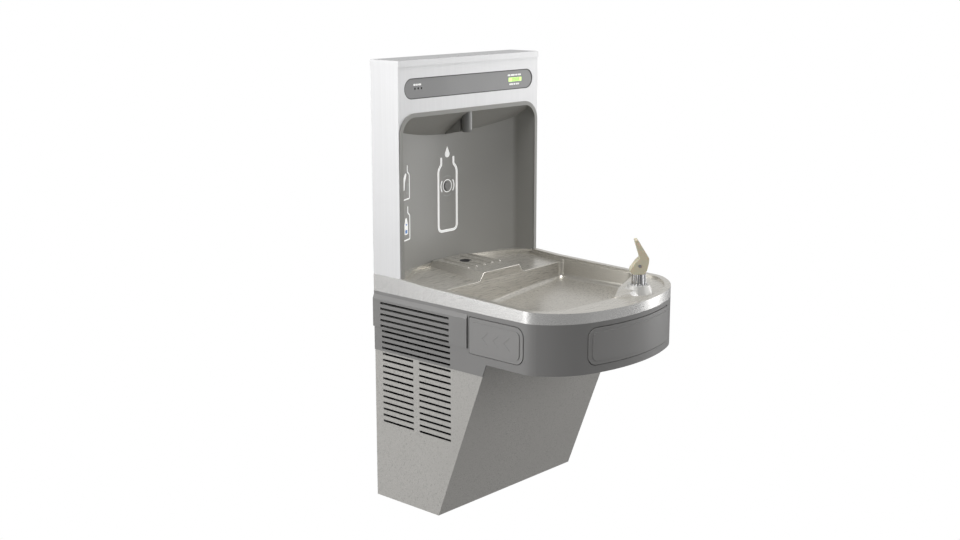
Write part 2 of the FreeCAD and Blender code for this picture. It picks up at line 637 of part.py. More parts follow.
def make_front_bar():
    skin = common("front_bar_plate", outline_prism("front_bar_out", "-bar_proud", "bar_low - 5",
                                                   "bar_high + 5"),
                  front_window("front_bar_window", "0", "-front_depth - 5", "-front_depth + 80"))
    skin = cut("front_bar_skin", skin, outline_prism("front_bar_in", "bar_sheet - bar_proud",
                                                     "bar_low - 10", "bar_high + 10"))
    pillow = common("front_pillow", outline_prism("front_pillow_out", "-bar_proud - pillow_proud",
                                                  "bar_low - 5", "bar_high + 5"),
                    front_window("front_pillow_window", "-pillow_margin", "-front_depth - 5",
                                 "-front_depth + 80"))
    pillow = cut("front_pillow_skin", pillow, outline_prism("front_pillow_in", "0", "bar_low - 10",
                                                            "bar_high + 10"))
    inner = "bar_sheet - bar_proud"
    wall_y = (f"front_radius - front_depth - sqrt((front_radius - ({inner}))^2 - front_post_half^2)")
    posts = [cylinder(f"front_post_{i}", "Y", (f"{side} * front_post_half", f"{wall_y} - 1", "post_height"),
                      "post_radius", f"-front_carrier_depth + 12 - ({wall_y})")
             for i, side in enumerate((-1, 1))]
    boss = box("front_boss", ("-6", "6"),
               (f"-front_depth + ({inner}) - 1",
                "-front_carrier_depth - switch_body - bar_travel - plunger_gap"),
               ("post_height - 6", "post_height + 6"))
    node("push_bar_front", fuse("push_bar_front_fuse", skin, pillow, *posts, boss))

    plate = box("front_carrier_plate", ("-front_post_half - 15", "front_post_half + 15"),
                ("-front_carrier_depth", "-front_carrier_depth + carrier_sheet"),
                ("apron_low + apron_wall", "carrier_high"))
    foot = box("front_carrier_foot", ("-front_post_half - 15", "front_post_half + 15"),
               ("-front_carrier_depth", "-front_carrier_depth + 20"),
               ("apron_low + apron_wall", "apron_low + apron_wall + carrier_sheet"))
    holes = [cylinder(f"front_guide_{i}", "Y", (f"{side} * front_post_half", "-front_carrier_depth - 5",
                                                "post_height"), "post_radius + 0.1", "12")
             for i, side in enumerate((-1, 1))]
    carrier = cut("front_carrier_cut", fuse("front_carrier", plate, foot), *holes)

    body = box("front_switch_body", ("-switch_half", "switch_half"),
               ("-front_carrier_depth - switch_body", "-front_carrier_depth"),
               ("post_height - 7", "post_height + 7"))
    bore = cylinder("front_switch_bore", "Y", ("0", "-front_carrier_depth - switch_body - 1", "post_height"),
                    "plunger_radius + 0.1", "switch_body")
    node("bar_switch_front", cut("front_switch_cut", body, bore))
    node("switch_plunger_front", cylinder(
        "front_plunger", "Y", ("0", "-front_carrier_depth - switch_body - bar_travel", "post_height"),
        "plunger_radius", "bar_travel + plunger_in"))
    free = f"-front_carrier_depth - ({wall_y}) - 2 * spring_wire - 1.8"
    coils = [spring(f"front_spring_{i}", (f"{side} * front_post_half",
                                          f"-front_carrier_depth - spring_wire - 0.3 - ({free})",
                                          "post_height"), "Y", free)
             for i, side in enumerate((-1, 1))]
    node("bar_springs_front", group("front_springs", *coils))
    return carrier


def make_side_bars():
    half = "body_width / 2"
    inner = f"{half} + bar_proud - bar_sheet"
    skin = side_window("side_bar_skin", "0", inner, f"{half} + bar_proud")
    pillow = side_window("side_bar_pillow", "-pillow_margin", f"{half}", f"{half} + bar_proud + pillow_proud")
    depths = ("side_post_back", "side_post_front")
    posts = [cylinder(f"side_post_{i}", "X", ("side_carrier_reach - 12", f"-{depth}", "post_height"),
                      "post_radius", f"{inner} + 1 - side_carrier_reach + 12")
             for i, depth in enumerate(depths)]
    boss = box("side_boss", ("side_carrier_reach + switch_body + bar_travel + plunger_gap", f"{inner} + 1"),
               ("-side_switch_depth - 6", "-side_switch_depth + 6"), ("post_height - 6", "post_height + 6"))
    right = fuse("side_bar_fuse", skin, pillow, *posts, boss)
    node("push_bar_right", right)
    node("push_bar_left", mirror("side_bar_mirror", right))

    floor = "apron_low + apron_wall"
    plate = box("side_carrier_plate", ("side_carrier_reach - carrier_sheet", "side_carrier_reach"),
                ("-side_post_front - 14", "-side_post_back + 14"), (floor, "carrier_high"))
    foot = box("side_carrier_foot", ("side_carrier_reach - 16", "side_carrier_reach"),
               ("-side_post_front - 14", "-slope_top_depth - 6"), (floor, f"{floor} + carrier_sheet"))
    holes = [cylinder(f"side_guide_{i}", "X", ("side_carrier_reach - 8", f"-{depth}", "post_height"),
                      "post_radius + 0.1", "12") for i, depth in enumerate(depths)]
    right = cut("side_carrier_cut", fuse("side_carrier", plate, foot), *holes)
    carriers = (right, mirror("side_carrier_mirror", right))

    body = box("side_switch_body", ("side_carrier_reach", "side_carrier_reach + switch_body"),
               ("-side_switch_depth - switch_half", "-side_switch_depth + switch_half"),
               ("post_height - 7", "post_height + 7"))
    bore = cylinder("side_switch_bore", "X", ("side_carrier_reach + 1", "-side_switch_depth", "post_height"),
                    "plunger_radius + 0.1", "switch_body")
    right = cut("side_switch_cut", body, bore)
    node("bar_switch_right", right)
    node("bar_switch_left", mirror("side_switch_mirror", right))
    right = cylinder("side_plunger", "X",
                     ("side_carrier_reach + switch_body - plunger_in", "-side_switch_depth", "post_height"),
                     "plunger_radius", "bar_travel + plunger_in")
    node("switch_plunger_right", right)
    node("switch_plunger_left", mirror("side_plunger_mirror", right))
    free = f"{inner} - side_carrier_reach - 2 * spring_wire - 0.6"
    coils = [spring(f"side_spring_{i}", ("side_carrier_reach + spring_wire + 0.3", f"-{depth}",
                                         "post_height"), "X", free) for i, depth in enumerate(depths)]
    right = group("side_springs", *coils)
    node("bar_springs_right", right)
    node("bar_springs_left", mirror("side_springs_mirror", right))
    return carriers


def make_push_bars():
    front = make_front_bar()
    node("bar_carriers", group("carrier_group", front, *make_side_bars()))


# ---- basin and bubbler ----

def make_basin():
    rim = common("rim_solid", outline_prism("rim_outside", "0", "rim_low", "rim_back_z + 5"),
                 rim_profile("rim_top", "0", "rim_low - 5"))
    hollow = common("under_hollow", outline_prism("rim_inside", "basin_sheet", "rim_low - 5",
                                                  "rim_back_z", back="basin_sheet"),
                    rim_profile("under_top", "lip_step + basin_sheet", "rim_low - 10"))
    bucket = common("bucket_solid", bowl_solid("bucket_outside", "basin_sheet"),
                    rim_profile("bucket_top", "lip_step", "apron_low - 20"))
    tray = prism("ledge_tray", "YZ", "-bowl_half - basin_sheet", "bowl_half + basin_sheet", [
        ("-basin_sheet", "ledge_back_z - basin_sheet"),
        ("-bowl_back - 10", "ledge_front_z - basin_sheet - 0.6"),
        ("-bowl_back - 10", "ledge_back_z - 4"), ("-basin_sheet", "ledge_back_z + 1")])
    shell = fuse("basin_shell", cut("rim_shell", rim, hollow), bucket, tray)

    behind = cut("behind_curb", box("behind_box", ("-body_width", "body_width"),
                                    ("-tower_depth - 2", "10"), ("rim_low", "total_height")),
                 curb_cylinder("behind_cylinder", "0"))
    above = cut("recess_tool", outline_prism("recess_outline", "lip_width", "rim_low", "rim_back_z + 20"),
                rim_profile("recess_floor", "lip_step", "rim_low - 5"), behind)
    ledge = common("ledge_tool", prism("ledge_space", "YZ", "-bowl_half", "bowl_half", [
        ("0", "ledge_back_z"), ("-bowl_back - 8", "ledge_front_z - 0.5"),
        ("-bowl_back - 8", "rim_back_z + 20"), ("0", "rim_back_z + 20")]),
        curb_cylinder("ledge_cylinder", "0"))
    hollowed = cut("basin_hollowed", shell, above, ledge, bowl_solid("bowl_hollow", "0"))

    def block_side(level, shrink):
        """Half the block's width at a level: its sides lean in towards the top."""
        return (f"block_half - ({shrink}) + block_draft * (block_front_z - ({level}))"
                " / (block_front_z - ledge_front_z)")

    def block(name, shrink, low):
        high = "block_back_z + 1"
        wide = block_side(low, shrink)
        length = prism(name + "_length", "YZ", f"-({wide})", wide, [
            ("0", low), (f"-block_front + ({shrink})", low),
            (f"-block_front + ({shrink})", f"block_front_z - ({shrink})"),
            ("0", f"block_back_z - ({shrink})")])
        sides = prism(name + "_sides", "XZ", "-block_front - 1", "1", [
            (f"-({wide})", low), (wide, low),
            (block_side(high, shrink), high), (f"-({block_side(high, shrink)})", high)])
        return common(name, length, sides, curb_cylinder(name + "_cylinder", f"-block_gap - ({shrink})"))

    def rib(i):
        """A half-round bead along the block's top, with a ball end at the front."""
        across = f"{i} * rib_pitch"
        ends = [(across, f"-({depth})", "block_front_z + rib_rise - rib_radius"
                 f" + (block_back_z - block_front_z) * (1 - ({depth}) / block_front)")
                for depth in ("rib_back", "rib_front")]
        rod = feature(f"rib_rod_{i + 2}", pipe(ends, num("rib_radius"), 1))
        ball = doc.addObject("Part::Sphere", f"rib_ball_{i + 2}")
        link(ball, "Radius", "rib_radius")
        place(ball, *ends[1])
        return [rod, ball]

    ribs = [solid for i in (-2, -1, 0, 1, 2) for solid in rib(i)]
    raised = cut("block_shell", fuse("block_fuse", block("block_outside", "0", "ledge_front_z - 1"), *ribs),
                 block("block_inside", "basin_sheet", "ledge_front_z - 20"))
    pedestal = cone("pedestal_cone", ("bubbler_x", "-bubbler_depth", "rim_front_z - lip_step"),
                    "pedestal_base", "pedestal_top", "pedestal_z - rim_front_z + lip_step")
    tail = make_tail()
    opened = cut("basin_opened", hollowed, block("block_opening", "basin_sheet", "ledge_front_z - 21"))
    joined = fuse("basin_joined", opened, raised, pedestal, tail)
    holes = [
        cylinder("platform_hole", "Z", ("0", "-drain_depth", "rim_low"), "drain_hole", "60"),
        cylinder("bowl_hole", "Z", ("bowl_drain_x", "-bowl_drain_depth", "apron_low"),
                 "bowl_drain_hole", "80"),
        cylinder("bubbler_hole", "Z", ("bubbler_x", "-bubbler_depth", "rim_low"), "shank_radius + 1", "60"),
        cylinder("filler_hole", "Z", ("filter_x", "-riser_depth", "rim_low"), "tube_radius + 3", "60"),
    ]
    node("basin", cut("basin_cut", joined, *holes))


def make_tail():
    """The low fairing that runs from the pedestal towards the front of the bowl."""
    def section(name, offset, half_base, half_top, rise):
        body = doc.addObject("Sketcher::SketchObject", name)
        body.Placement = FreeCAD.Placement(V(), FreeCAD.Rotation(V(1, 1, 1), 120))
        place(body, f"bubbler_x - ({offset})", "-bubbler_depth + ({0}) * 0.12".format(offset),
              "rim_front_z - lip_step")
        add_loop(body, [(f"-({half_base})", "0"), (half_base, "0"), (half_top, rise),
                        (f"-({half_top})", rise)])
        return body

    loft = doc.addObject("Part::Loft", "pedestal_tail")
    loft.Sections = [section("tail_big", "0", "pedestal_base - 3", "pedestal_top - 2",
                             "pedestal_z - rim_front_z + lip_step - 1"),
                     section("tail_small", "74", "9", "3", "3.5")]
    loft.Solid = True
    loft.Ruled = True
    return loft


def make_strainers():
    disc = cylinder("platform_disc", "Z", ("0", "-drain_depth", "block_front_z - 1"),
                    "drain_hole - hole_slip", "4")
    stem = cylinder("platform_stem", "Z", ("0", "-drain_depth", "ledge_front_z - 2"), "drain_tube",
                    "block_front_z - ledge_front_z + 2")
    slits = [box(f"platform_slit_{i}", ("-9", "9"),
                 (f"-drain_depth + {4 * i - 9.25}", f"-drain_depth + {4 * i - 6.75}"),
                 ("block_front_z + 1", "block_front_z + 4")) for i in range(5)]
    node("platform_strainer", cut("platform_strainer_cut", fuse("platform_strainer_body", disc, stem),
                                  *slits))

    floor = "bowl_floor_mid + bowl_slope * (bowl_drain_x + bowl_drain_hole + 6)"
    at = ("bowl_drain_x", "-bowl_drain_depth")
    flange = cylinder("bowl_flange", "Z", (*at, f"{floor} + 0.2"), "bowl_drain_hole + 6", "1.6")
    neck = cylinder("bowl_neck", "Z", (*at, f"{floor} - 22"), "bowl_drain_hole - hole_slip", "22.5")
    inner = cylinder("bowl_neck_bore", "Z", (*at, f"{floor} - 23"), "bowl_drain_hole - 2", "22")
    pins = [cylinder(f"bowl_pin_{i}{k}", "Z", (f"bowl_drain_x + {9 * i - 9}",
                                               f"-bowl_drain_depth + {9 * k - 9}",
                                               f"{floor} - 5"), "2.6", "12")
            for i in range(3) for k in range(3)]
    node("bowl_strainer", cut("bowl_strainer_cut", fuse("bowl_strainer_body", flange, neck), inner, *pins))


def make_bubbler():
    at = ("bubbler_x", "-bubbler_depth")
    foot = cylinder("bubbler_foot", "Z", (*at, "pedestal_z"), "bubbler_radius + 1.5", "3")
    barrel = cone("bubbler_barrel", (*at, "pedestal_z + 3"), "bubbler_radius", "bubbler_radius - 1.5",
                  "bubbler_height - 3")
    shank = cylinder("bubbler_shank", "Z", (*at, "shank_low"), "shank_radius", "pedestal_z - shank_low + 1")
    node("bubbler_base", fuse("bubbler_base_fuse", foot, barrel, shank))

    under = "rim_knee_z - (bubbler_depth - rim_knee_depth) * (rim_knee_z - rim_front_z)" \
            " / (front_depth - rim_knee_depth) - lip_step - basin_sheet - 0.7"
    nut = doc.addObject("Part::Prism", "nut_hexagon")
    nut.Polygon = 6
    link(nut, "Circumradius", "13")
    link(nut, "Height", "9")
    place(nut, *at, f"{under} - 9")
    bore = cylinder("nut_bore", "Z", (*at, f"{under} - 15"), "shank_radius + 0.05", "30")
    node("bubbler_nut", cut("bubbler_nut_cut", nut, bore))

    guard = doc.addObject("PartDesign::Body", "guard_body")
    sketch = new_sketch(guard, "XZ", "guard_width / 2")
    top = "0.3"
    add_loop(sketch, [
        ("-12", top), ("9", top), ("15.5", "9"), ("19.2", "24.7"), ("19.8", "36"), ("-5", "76"),
        ("-12.5", "75.5"), ("-2.3", "43"), ("-0.4", "35.5"), ("-8", "28.7"), ("-19.6", "12"), ("-20.5", "5")])
    pad(guard, sketch, "guard_width")
    round_edges(guard, "guard_round", runs("Y"))
    turn = FreeCAD.Rotation(V(0, 0, 1), num("guard_turn"))
    guard.Placement = FreeCAD.Placement(V(), turn)
    place(guard, *at, "pedestal_z + bubbler_height")
    pin_hole = cylinder("guard_pin_hole", "Y", ("0", "0", "0"), "3.5", "guard_width + 10")
    pin = cylinder("guard_pin_rod", "Y", ("0", "0", "0"), "3.3", "guard_width + 1.6")
    for obj, length in ((pin_hole, "guard_width + 10"), (pin, "guard_width + 1.6")):
        obj.Placement = FreeCAD.Placement(V(), turn * TURNED_TO["Y"])
        place(obj, f"bubbler_x + sin(guard_turn) * ({length}) / 2",
              f"-bubbler_depth - cos(guard_turn) * ({length}) / 2", "pedestal_z + bubbler_height + 19")
    node("bubbler_guard", cut("bubbler_guard_cut", guard, pin_hole))
    node("bubbler_pin", pin)


# ---- tower and alcove ----

def make_tower():
    shell = box("tower_outside", ("-tower_half", "tower_half"), ("-tower_depth", "0"),
                ("rim_back_z", "cap_low"))
    inside = box("tower_inside", ("-tower_half + tower_sheet", "tower_half - tower_sheet"),
                 ("-tower_depth + tower_sheet", "5"), ("rim_back_z - 5", "cap_low + 5"))
    mouth = arch_prism("tower_mouth", "liner_wall + slip", "-tower_depth - 5", "-tower_depth + 10")
    below = box("tower_below", ("-alcove_half - liner_wall - slip", "alcove_half + liner_wall + slip"),
                ("-tower_depth - 5", "-tower_depth + 10"), ("rim_back_z - 5", "rim_back_z + 5"))
    window = stadium("tower_window", "slip", "-tower_depth - 5", "-tower_depth + 10")
    node("tower_shell", cut("tower_shell_cut", shell, inside, mouth, below, window))
    node("tower_back", box("tower_back_plate", ("-tower_half + tower_sheet", "tower_half - tower_sheet"),
                           ("-tower_sheet", "0"), ("rim_back_z", "cap_low")))
    top = box("cap_outside", ("-tower_half - cap_over", "tower_half + cap_over"),
              ("-tower_depth - cap_nose", "0"), ("cap_low", "total_height"))
    under = box("cap_inside", ("-tower_half + 2", "tower_half - 2"), ("-tower_depth + 2", "-3"),
                ("cap_low - 1", "total_height - 2"))
    node("tower_cap", cut("tower_cap_cut", top, under))


def make_alcove():
    outside = common("liner_outside", arch_prism("liner_mouth", "liner_wall", "-tower_depth", "0"),
                     under_ceiling("liner_ceiling", "1.25 * liner_wall"),
                     niche_prism("liner_niche", "liner_wall"))
    hollow = common("liner_hollow", arch_prism("hollow_mouth", "0", "-tower_depth - 10", "0"),
                    under_ceiling("hollow_ceiling", "0"), niche_prism("hollow_niche", "0"))
    bezel = arch_prism("bezel_outside", "bezel_width", "-tower_depth - bezel_proud", "-tower_depth")
    opening = arch_prism("bezel_opening", "0", "-tower_depth - 15", "-tower_depth + 1")
    nozzle = cylinder("liner_nozzle_hole", "Z", ("0", "-nozzle_depth", "nozzle_low"),
                      "nozzle_radius + hole_slip",
                      "nozzle_high - nozzle_low")
    sensor = cylinder("liner_sensor_hole", "Y", ("0", "-40", "sensor_z"), "sensor_radius + hole_slip", "40")
    node("alcove_liner", cut("alcove_liner_cut", fuse("liner_solid", outside, bezel), hollow, opening,
                             nozzle, sensor))
    node("bottle_sensor", cylinder("sensor_barrel", "Y", ("0", "-wall_depth - 1.2", "sensor_z"),
                                   "sensor_radius", "wall_depth + 1.2 - tower_sheet"))
    ceiling = "alcove_top - tower_depth * ceiling_slope"
    rear = "-wall_depth - 3"
    node("nozzle_fairing", prism("fairing_wedge", "YZ", "-fairing_half", "fairing_half", [
        ("-nozzle_depth + nozzle_radius + 0.3",
         f"{ceiling} + ceiling_slope * (nozzle_depth - nozzle_radius) - 0.6"),
        ("-nozzle_depth + nozzle_radius + 0.3", "nozzle_low + 1"),
        (rear, "nozzle_low - 9"), (rear, f"{ceiling} + ceiling_slope * (wall_depth + 3) - 0.4")]))


def make_filler():
    tip = cone("nozzle_tip", ("0", "-nozzle_depth", "nozzle_low"), "nozzle_radius - 2", "nozzle_radius", "6")
    barrel = cylinder("nozzle_barrel", "Z", ("0", "-nozzle_depth", "nozzle_low + 6"), "nozzle_radius",
                      "nozzle_high - nozzle_low - 6")
    bore = cylinder("nozzle_bore", "Z", ("0", "-nozzle_depth", "nozzle_low - 1"), "nozzle_radius - 4", "30")
    node("filler_nozzle", cut("filler_nozzle_cut", fuse("filler_nozzle_body", tip, barrel), bore))
    body = box("valve_body", ("-22", "22"), ("-nozzle_depth - 8", "-tower_sheet"),
               ("nozzle_high", "nozzle_high + 19"))
    coil = cylinder("valve_coil", "Z", ("0", "-38", "nozzle_high + 18"), "15", "34")
    node("filler_valve", fuse("filler_valve_fuse", body, coil))


def make_display():
    face = stadium("display_face", "0", "-tower_depth + display_recess", "-tower_depth + tower_sheet")
    plate = stadium("display_back", "display_border", "-tower_depth + tower_sheet",
                    "-tower_depth + tower_sheet + display_plate")
    behind = "-tower_depth + tower_sheet + display_plate"
    bosses = [cylinder(f"display_boss_{i}{k}", "Y", (f"{side} * 190", f"{behind} - 1", f"{level}"), "4",
                       f"-board_depth + 1 - ({behind})")
              for i, side in enumerate((-1, 1))
              for k, level in enumerate(("display_low + 8", "display_high - 8"))]
    lcd_hole = box("lcd_hole", ("lcd_left", "lcd_right"), ("-tower_depth - 5", "-board_depth"),
                   ("lcd_low", "lcd_high"))
    led_places = [f"led_first + {i} * led_pitch" for i in range(3)]
    led_holes = [cylinder(f"led_hole_{i}", "Y", (x, "-tower_depth - 5", "led_z"), "led_radius + 0.2",
                          "tower_depth - board_depth + 5") for i, x in enumerate(led_places)]
    node("display_panel", cut("display_panel_cut", fuse("display_solid", face, plate, *bosses),
                              lcd_hole, *led_holes))
    node("lcd_module", box("lcd_block", ("lcd_left + 0.2", "lcd_right - 0.2"),
                           ("-tower_depth + display_recess + 0.2", "-board_depth"),
                           ("lcd_low + 0.2", "lcd_high - 0.2")))
    node("status_leds", group("led_group", *[
        cylinder(f"led_{i}", "Y", (x, "-tower_depth + display_recess - 0.2", "led_z"), "led_radius",
                 "tower_depth - board_depth - display_recess + 0.2") for i, x in enumerate(led_places)]))
    board = box("board_plate", ("-200", "200"), ("-board_depth", "-board_depth + board_sheet"),
                ("display_low", "display_high"))
    chips = [box(f"board_chip_{i}", (f"{x}", f"{x + 14}"), ("-board_depth + 1", "-board_depth + 6"),
                 ("led_z - 9", "led_z + 5")) for i, x in enumerate((-150, -90, 60, 120))]
    node("control_board", fuse("control_board_fuse", board, *chips))


# ---- cooling ----

def make_compressor():
    at = ("comp_x", "-comp_depth")
    base = box("comp_base", ("comp_x - 65", "comp_x + 65"), ("-comp_depth - 52", "-comp_depth + 52"),
               ("comp_low", "comp_low + 3"))
    body = cylinder("comp_body", "Z", (*at, "comp_low + 2"), "comp_radius", "comp_shoulder - comp_low - 2")
    ball = doc.addObject("Part::Sphere", "comp_ball")
    curve = "(comp_radius^2 + comp_dome^2) / (2 * comp_dome)"
    link(ball, "Radius", curve)
    place(ball, *at, f"comp_shoulder + comp_dome - {curve}")
    dome = common("comp_dome_cap", ball, cylinder("comp_dome_limit", "Z", (*at, "comp_shoulder - 1"),
                                                  "comp_radius", "comp_dome + 5"))
    seam = cylinder("comp_seam", "Z", (*at, "comp_shoulder - 14"), "comp_radius + 2", "4")
    terminal = box("comp_terminal", ("comp_x - 16", "comp_x + 16"), ("-comp_depth - comp_radius - 8",
                                                                   "-comp_depth - comp_radius + 8"),
                                                                   ("50", "86"))
    stubs = [cylinder(f"comp_stub_{i}", "Z", (x, y, "comp_shoulder"), "pipe_radius + 1",
                      "stub_top - comp_shoulder")
             for i, (x, y) in enumerate((("comp_x + 35", "-comp_depth + 23"),
                                         ("comp_x + 15", "-comp_depth + 38")))]
    node("compressor", fuse("compressor_fuse", base, body, dome, seam, terminal, *stubs))
    node("compressor_feet", group("comp_feet", *[
        cylinder(f"comp_foot_{i}{k}", "Z", (f"comp_x + {i} * 56", f"-comp_depth + {k} * 43", "pan_sheet"),
                 "7",
                 "comp_low - pan_sheet") for i in (-1, 1) for k in (-1, 1)]))


def make_condenser():
    fins = [box(f"fin_{i}", ("cond_left + 2", "cond_right - 2"),
                (f"-cond_front + 6 + {i} * 12", f"-cond_front + 7 + {i} * 12"), ("8", "cond_top - 6"))
            for i in range(13)]
    ends = [box("cond_end_a", ("shroud_right", "cond_right + 3"), ("-cond_front", "-cond_front + 1.5"),
                ("pan_sheet", "cond_top")),
            box("cond_end_b", ("shroud_right", "cond_right + 3"), ("-cond_back - 1.5", "-cond_back"),
                ("pan_sheet", "cond_top"))]
    tubes = [cylinder(f"cond_tube_{i}{k}", "Y", (f"cond_left + 11 + {i} * 18", "-cond_front",
                                                 f"20 + {k} * 25"),
                      "4.5", "cond_front - cond_back") for i in range(2) for k in range(7)]
    node("condenser", fuse("condenser_fuse", *fins, *ends, *tubes))


def make_fan():
    middle = "-(cond_front + cond_back) / 2"
    plate = box("shroud_plate", ("shroud_left", "shroud_right"), ("-cond_front", "-cond_back"),
                ("pan_sheet", "cond_top"))
    hole = cylinder("shroud_hole", "X", ("shroud_left - 1", middle, "fan_z"), "fan_radius + 4", "12")
    node("fan_shroud", cut("fan_shroud_cut", plate, hole))
    strap = box("fan_strap", ("motor_right", "motor_right + 2"), (f"{middle} - 9", f"{middle} + 9"),
                ("5", "cond_top - 3"))
    arms = [box(f"fan_arm_{i}", ("motor_right", "shroud_left"), (f"{middle} - 9", f"{middle} + 9"), level)
            for i, level in enumerate((("5", "7"), ("cond_top - 5", "cond_top - 3")))]
    pass_hole = cylinder("strap_hole", "X", ("motor_right - 1", middle, "fan_z"), "6", "5")
    node("fan_bracket", cut("fan_bracket_cut", fuse("fan_bracket_fuse", strap, *arms), pass_hole))
    motor = cylinder("motor_can", "X", ("motor_left", middle, "fan_z"), "motor_radius",
                     "motor_right - motor_left")
    bore = cylinder("motor_bore", "X", ("motor_right - 20", middle, "fan_z"), "shaft_radius + shaft_gap",
                    "21")
    node("fan_motor", cut("fan_motor_cut", motor, bore))
    shaft = cylinder("fan_shaft", "X", ("motor_right - 19", middle, "fan_z"), "shaft_radius", "30")
    hub = cylinder("fan_hub", "X", ("fan_x", middle, "fan_z"), "12", "12")
    blades = []
    for i in range(4):
        swept = prism(f"fan_vane_{i}", "YZ", "0", "1.6", [
            ("-14", "9"), ("14", "9"), ("22", "fan_radius - 14"), ("6", "fan_radius - 3"),
            ("-22", "fan_radius - 12")])
        spin = FreeCAD.Rotation(V(1, 0, 0), 90 * i) * FreeCAD.Rotation(V(0, 0, 1), 24)
        swept.Placement = FreeCAD.Placement(V(), spin)
        place(swept, "fan_x + 5", middle, "fan_z")
        blades.append(swept)
    node("fan_blade", fuse("fan_blade_fuse", shaft, hub, *blades))


def make_chiller():
    at = ("tank_x", "-tank_depth")
    base = "shelf_z + pan_sheet"
    outer = cylinder("jacket_outside", "Z", (*at, base), "jacket_radius", f"lid_low - ({base})")
    inner = cylinder("jacket_inside", "Z", (*at, "tank_low"), "tank_radius + slip", "lid_low - tank_low + 1")
    node("chiller_jacket", cut("chiller_jacket_cut", outer, inner))
    node("chiller_tank", cylinder("tank_can", "Z", (*at, "tank_low"), "tank_radius",
                                  "lid_low - tank_low - slip"))
    node("chiller_lid", cylinder("lid_disc", "Z", (*at, "lid_low"), "jacket_radius", "lid_high - lid_low"))


def make_refrigerant_lines():
    lift = "stub_top"
    back = "-cond_back"
    routes = {
        "discharge": ([("comp_x + 35", "-comp_depth + 23", lift),
                       ("comp_x + 35", "-comp_depth + 23", "stub_top + 25"),
                       ("comp_x + 35", "-18", "stub_top + 25"), ("cond_left + 11", "-18", "stub_top + 25"),
                       ("cond_left + 11", "-18", "170"), ("cond_left + 11", back, "170")], "pipe_radius",
                       2.4),
        "liquid": ([("cond_left + 29", back, "20"), ("cond_left + 29", "-16", "20"), ("drier_x", "-16", "20"),
                    ("drier_x", "-drier_depth", "20"), ("drier_x", "-drier_depth", "drier_low")],
                    "pipe_radius", 8),
        "capillary": ([("drier_x", "-drier_depth", "drier_high"),
                       ("drier_x", "-drier_depth", "lid_high + 20"),
                       ("tank_x - 20", "-tank_depth + 20", "lid_high + 20"),
                       ("tank_x - 20", "-tank_depth + 20", "lid_high")], "1.5", 8),
        "suction": ([("tank_x + 20", "-tank_depth + 30", "lid_high"),
                     ("tank_x + 20", "-tank_depth + 30", "lid_high + 22"),
                     ("-50", "-60", "lid_high + 22"), ("-50", "-60", "stub_top + 16"),
                     ("comp_x + 15", "-comp_depth + 38", "stub_top + 16"),
                     ("comp_x + 15", "-comp_depth + 38", lift)], "pipe_radius + 1", 8),
    }
    drier = cylinder("drier_can", "Z", ("drier_x", "-drier_depth", "drier_low"), "drier_radius",
                     "drier_high - drier_low")
    node("refrigerant_lines", group("refrigerant_group", drier, *[
        feature("line_" + name, pipe(route, num(radius), bend)) for name,
        (route, radius, bend) in routes.items()]))


def make_electrics():
    node("electrical_box", box("electrical_case", ("30", "88"), ("-66", "-22"), ("pan_sheet", "90")))
    flange = cylinder("grommet_flange", "Y", ("60", "-frame_back - frame_sheet - 2", "lower_hole_z"), "12",
                      "2")
    neck = cylinder("grommet_neck", "Y", ("60", "-frame_back - frame_sheet - 1", "lower_hole_z"), "8.7",
                    "frame_sheet + 2.5")
    bore = cylinder("grommet_bore", "Y", ("60", "-20", "lower_hole_z"), "5", "20")
    node("cord_grommet", cut("cord_grommet_cut", fuse("grommet_body", flange, neck), bore))
    node("thermostat", box("thermostat_case", ("-35", "10"), ("-55", "-12"),
                           ("shelf_z + pan_sheet", "shelf_z + 45")))
    knob = cylinder("dial_knob", "Y", ("-12", "-64", "shelf_z + 25"), "13", "8.7")
    mark = box("dial_mark", ("-13", "-11"), ("-66", "-63"), ("shelf_z + 25", "shelf_z + 37"))
    node("thermostat_dial", fuse("thermostat_dial_fuse", knob, mark))


# ---- water ----

def make_filter():
    at = ("filter_x", "-filter_depth")
    head = box("filter_head_block", ("filter_x - 35", "filter_x + 35"),
               ("-filter_depth - 35", "-frame_back - 4 * frame_sheet - 1"),
               ("head_low", "head_high"))
    node("filter_head", head)
    body = cylinder("cartridge_body", "Z", (*at, "filter_low + 6"), "filter_radius",
                    "head_low - slip - filter_low - 6")
    end = cone("cartridge_end", (*at, "filter_low"), "filter_radius - 10", "filter_radius", "6")
    grip = box("cartridge_grip", ("filter_x - 26", "filter_x + 26"),
               ("-filter_depth - 4", "-filter_depth + 4"),
               ("filter_low - 12", "filter_low + 1"))
    node("filter_cartridge", fuse("filter_cartridge_fuse", body, end, grip))
    node("inlet_fitting", cylinder("inlet_body", "Y", ("70", "-35", "380"), "8", "35"))


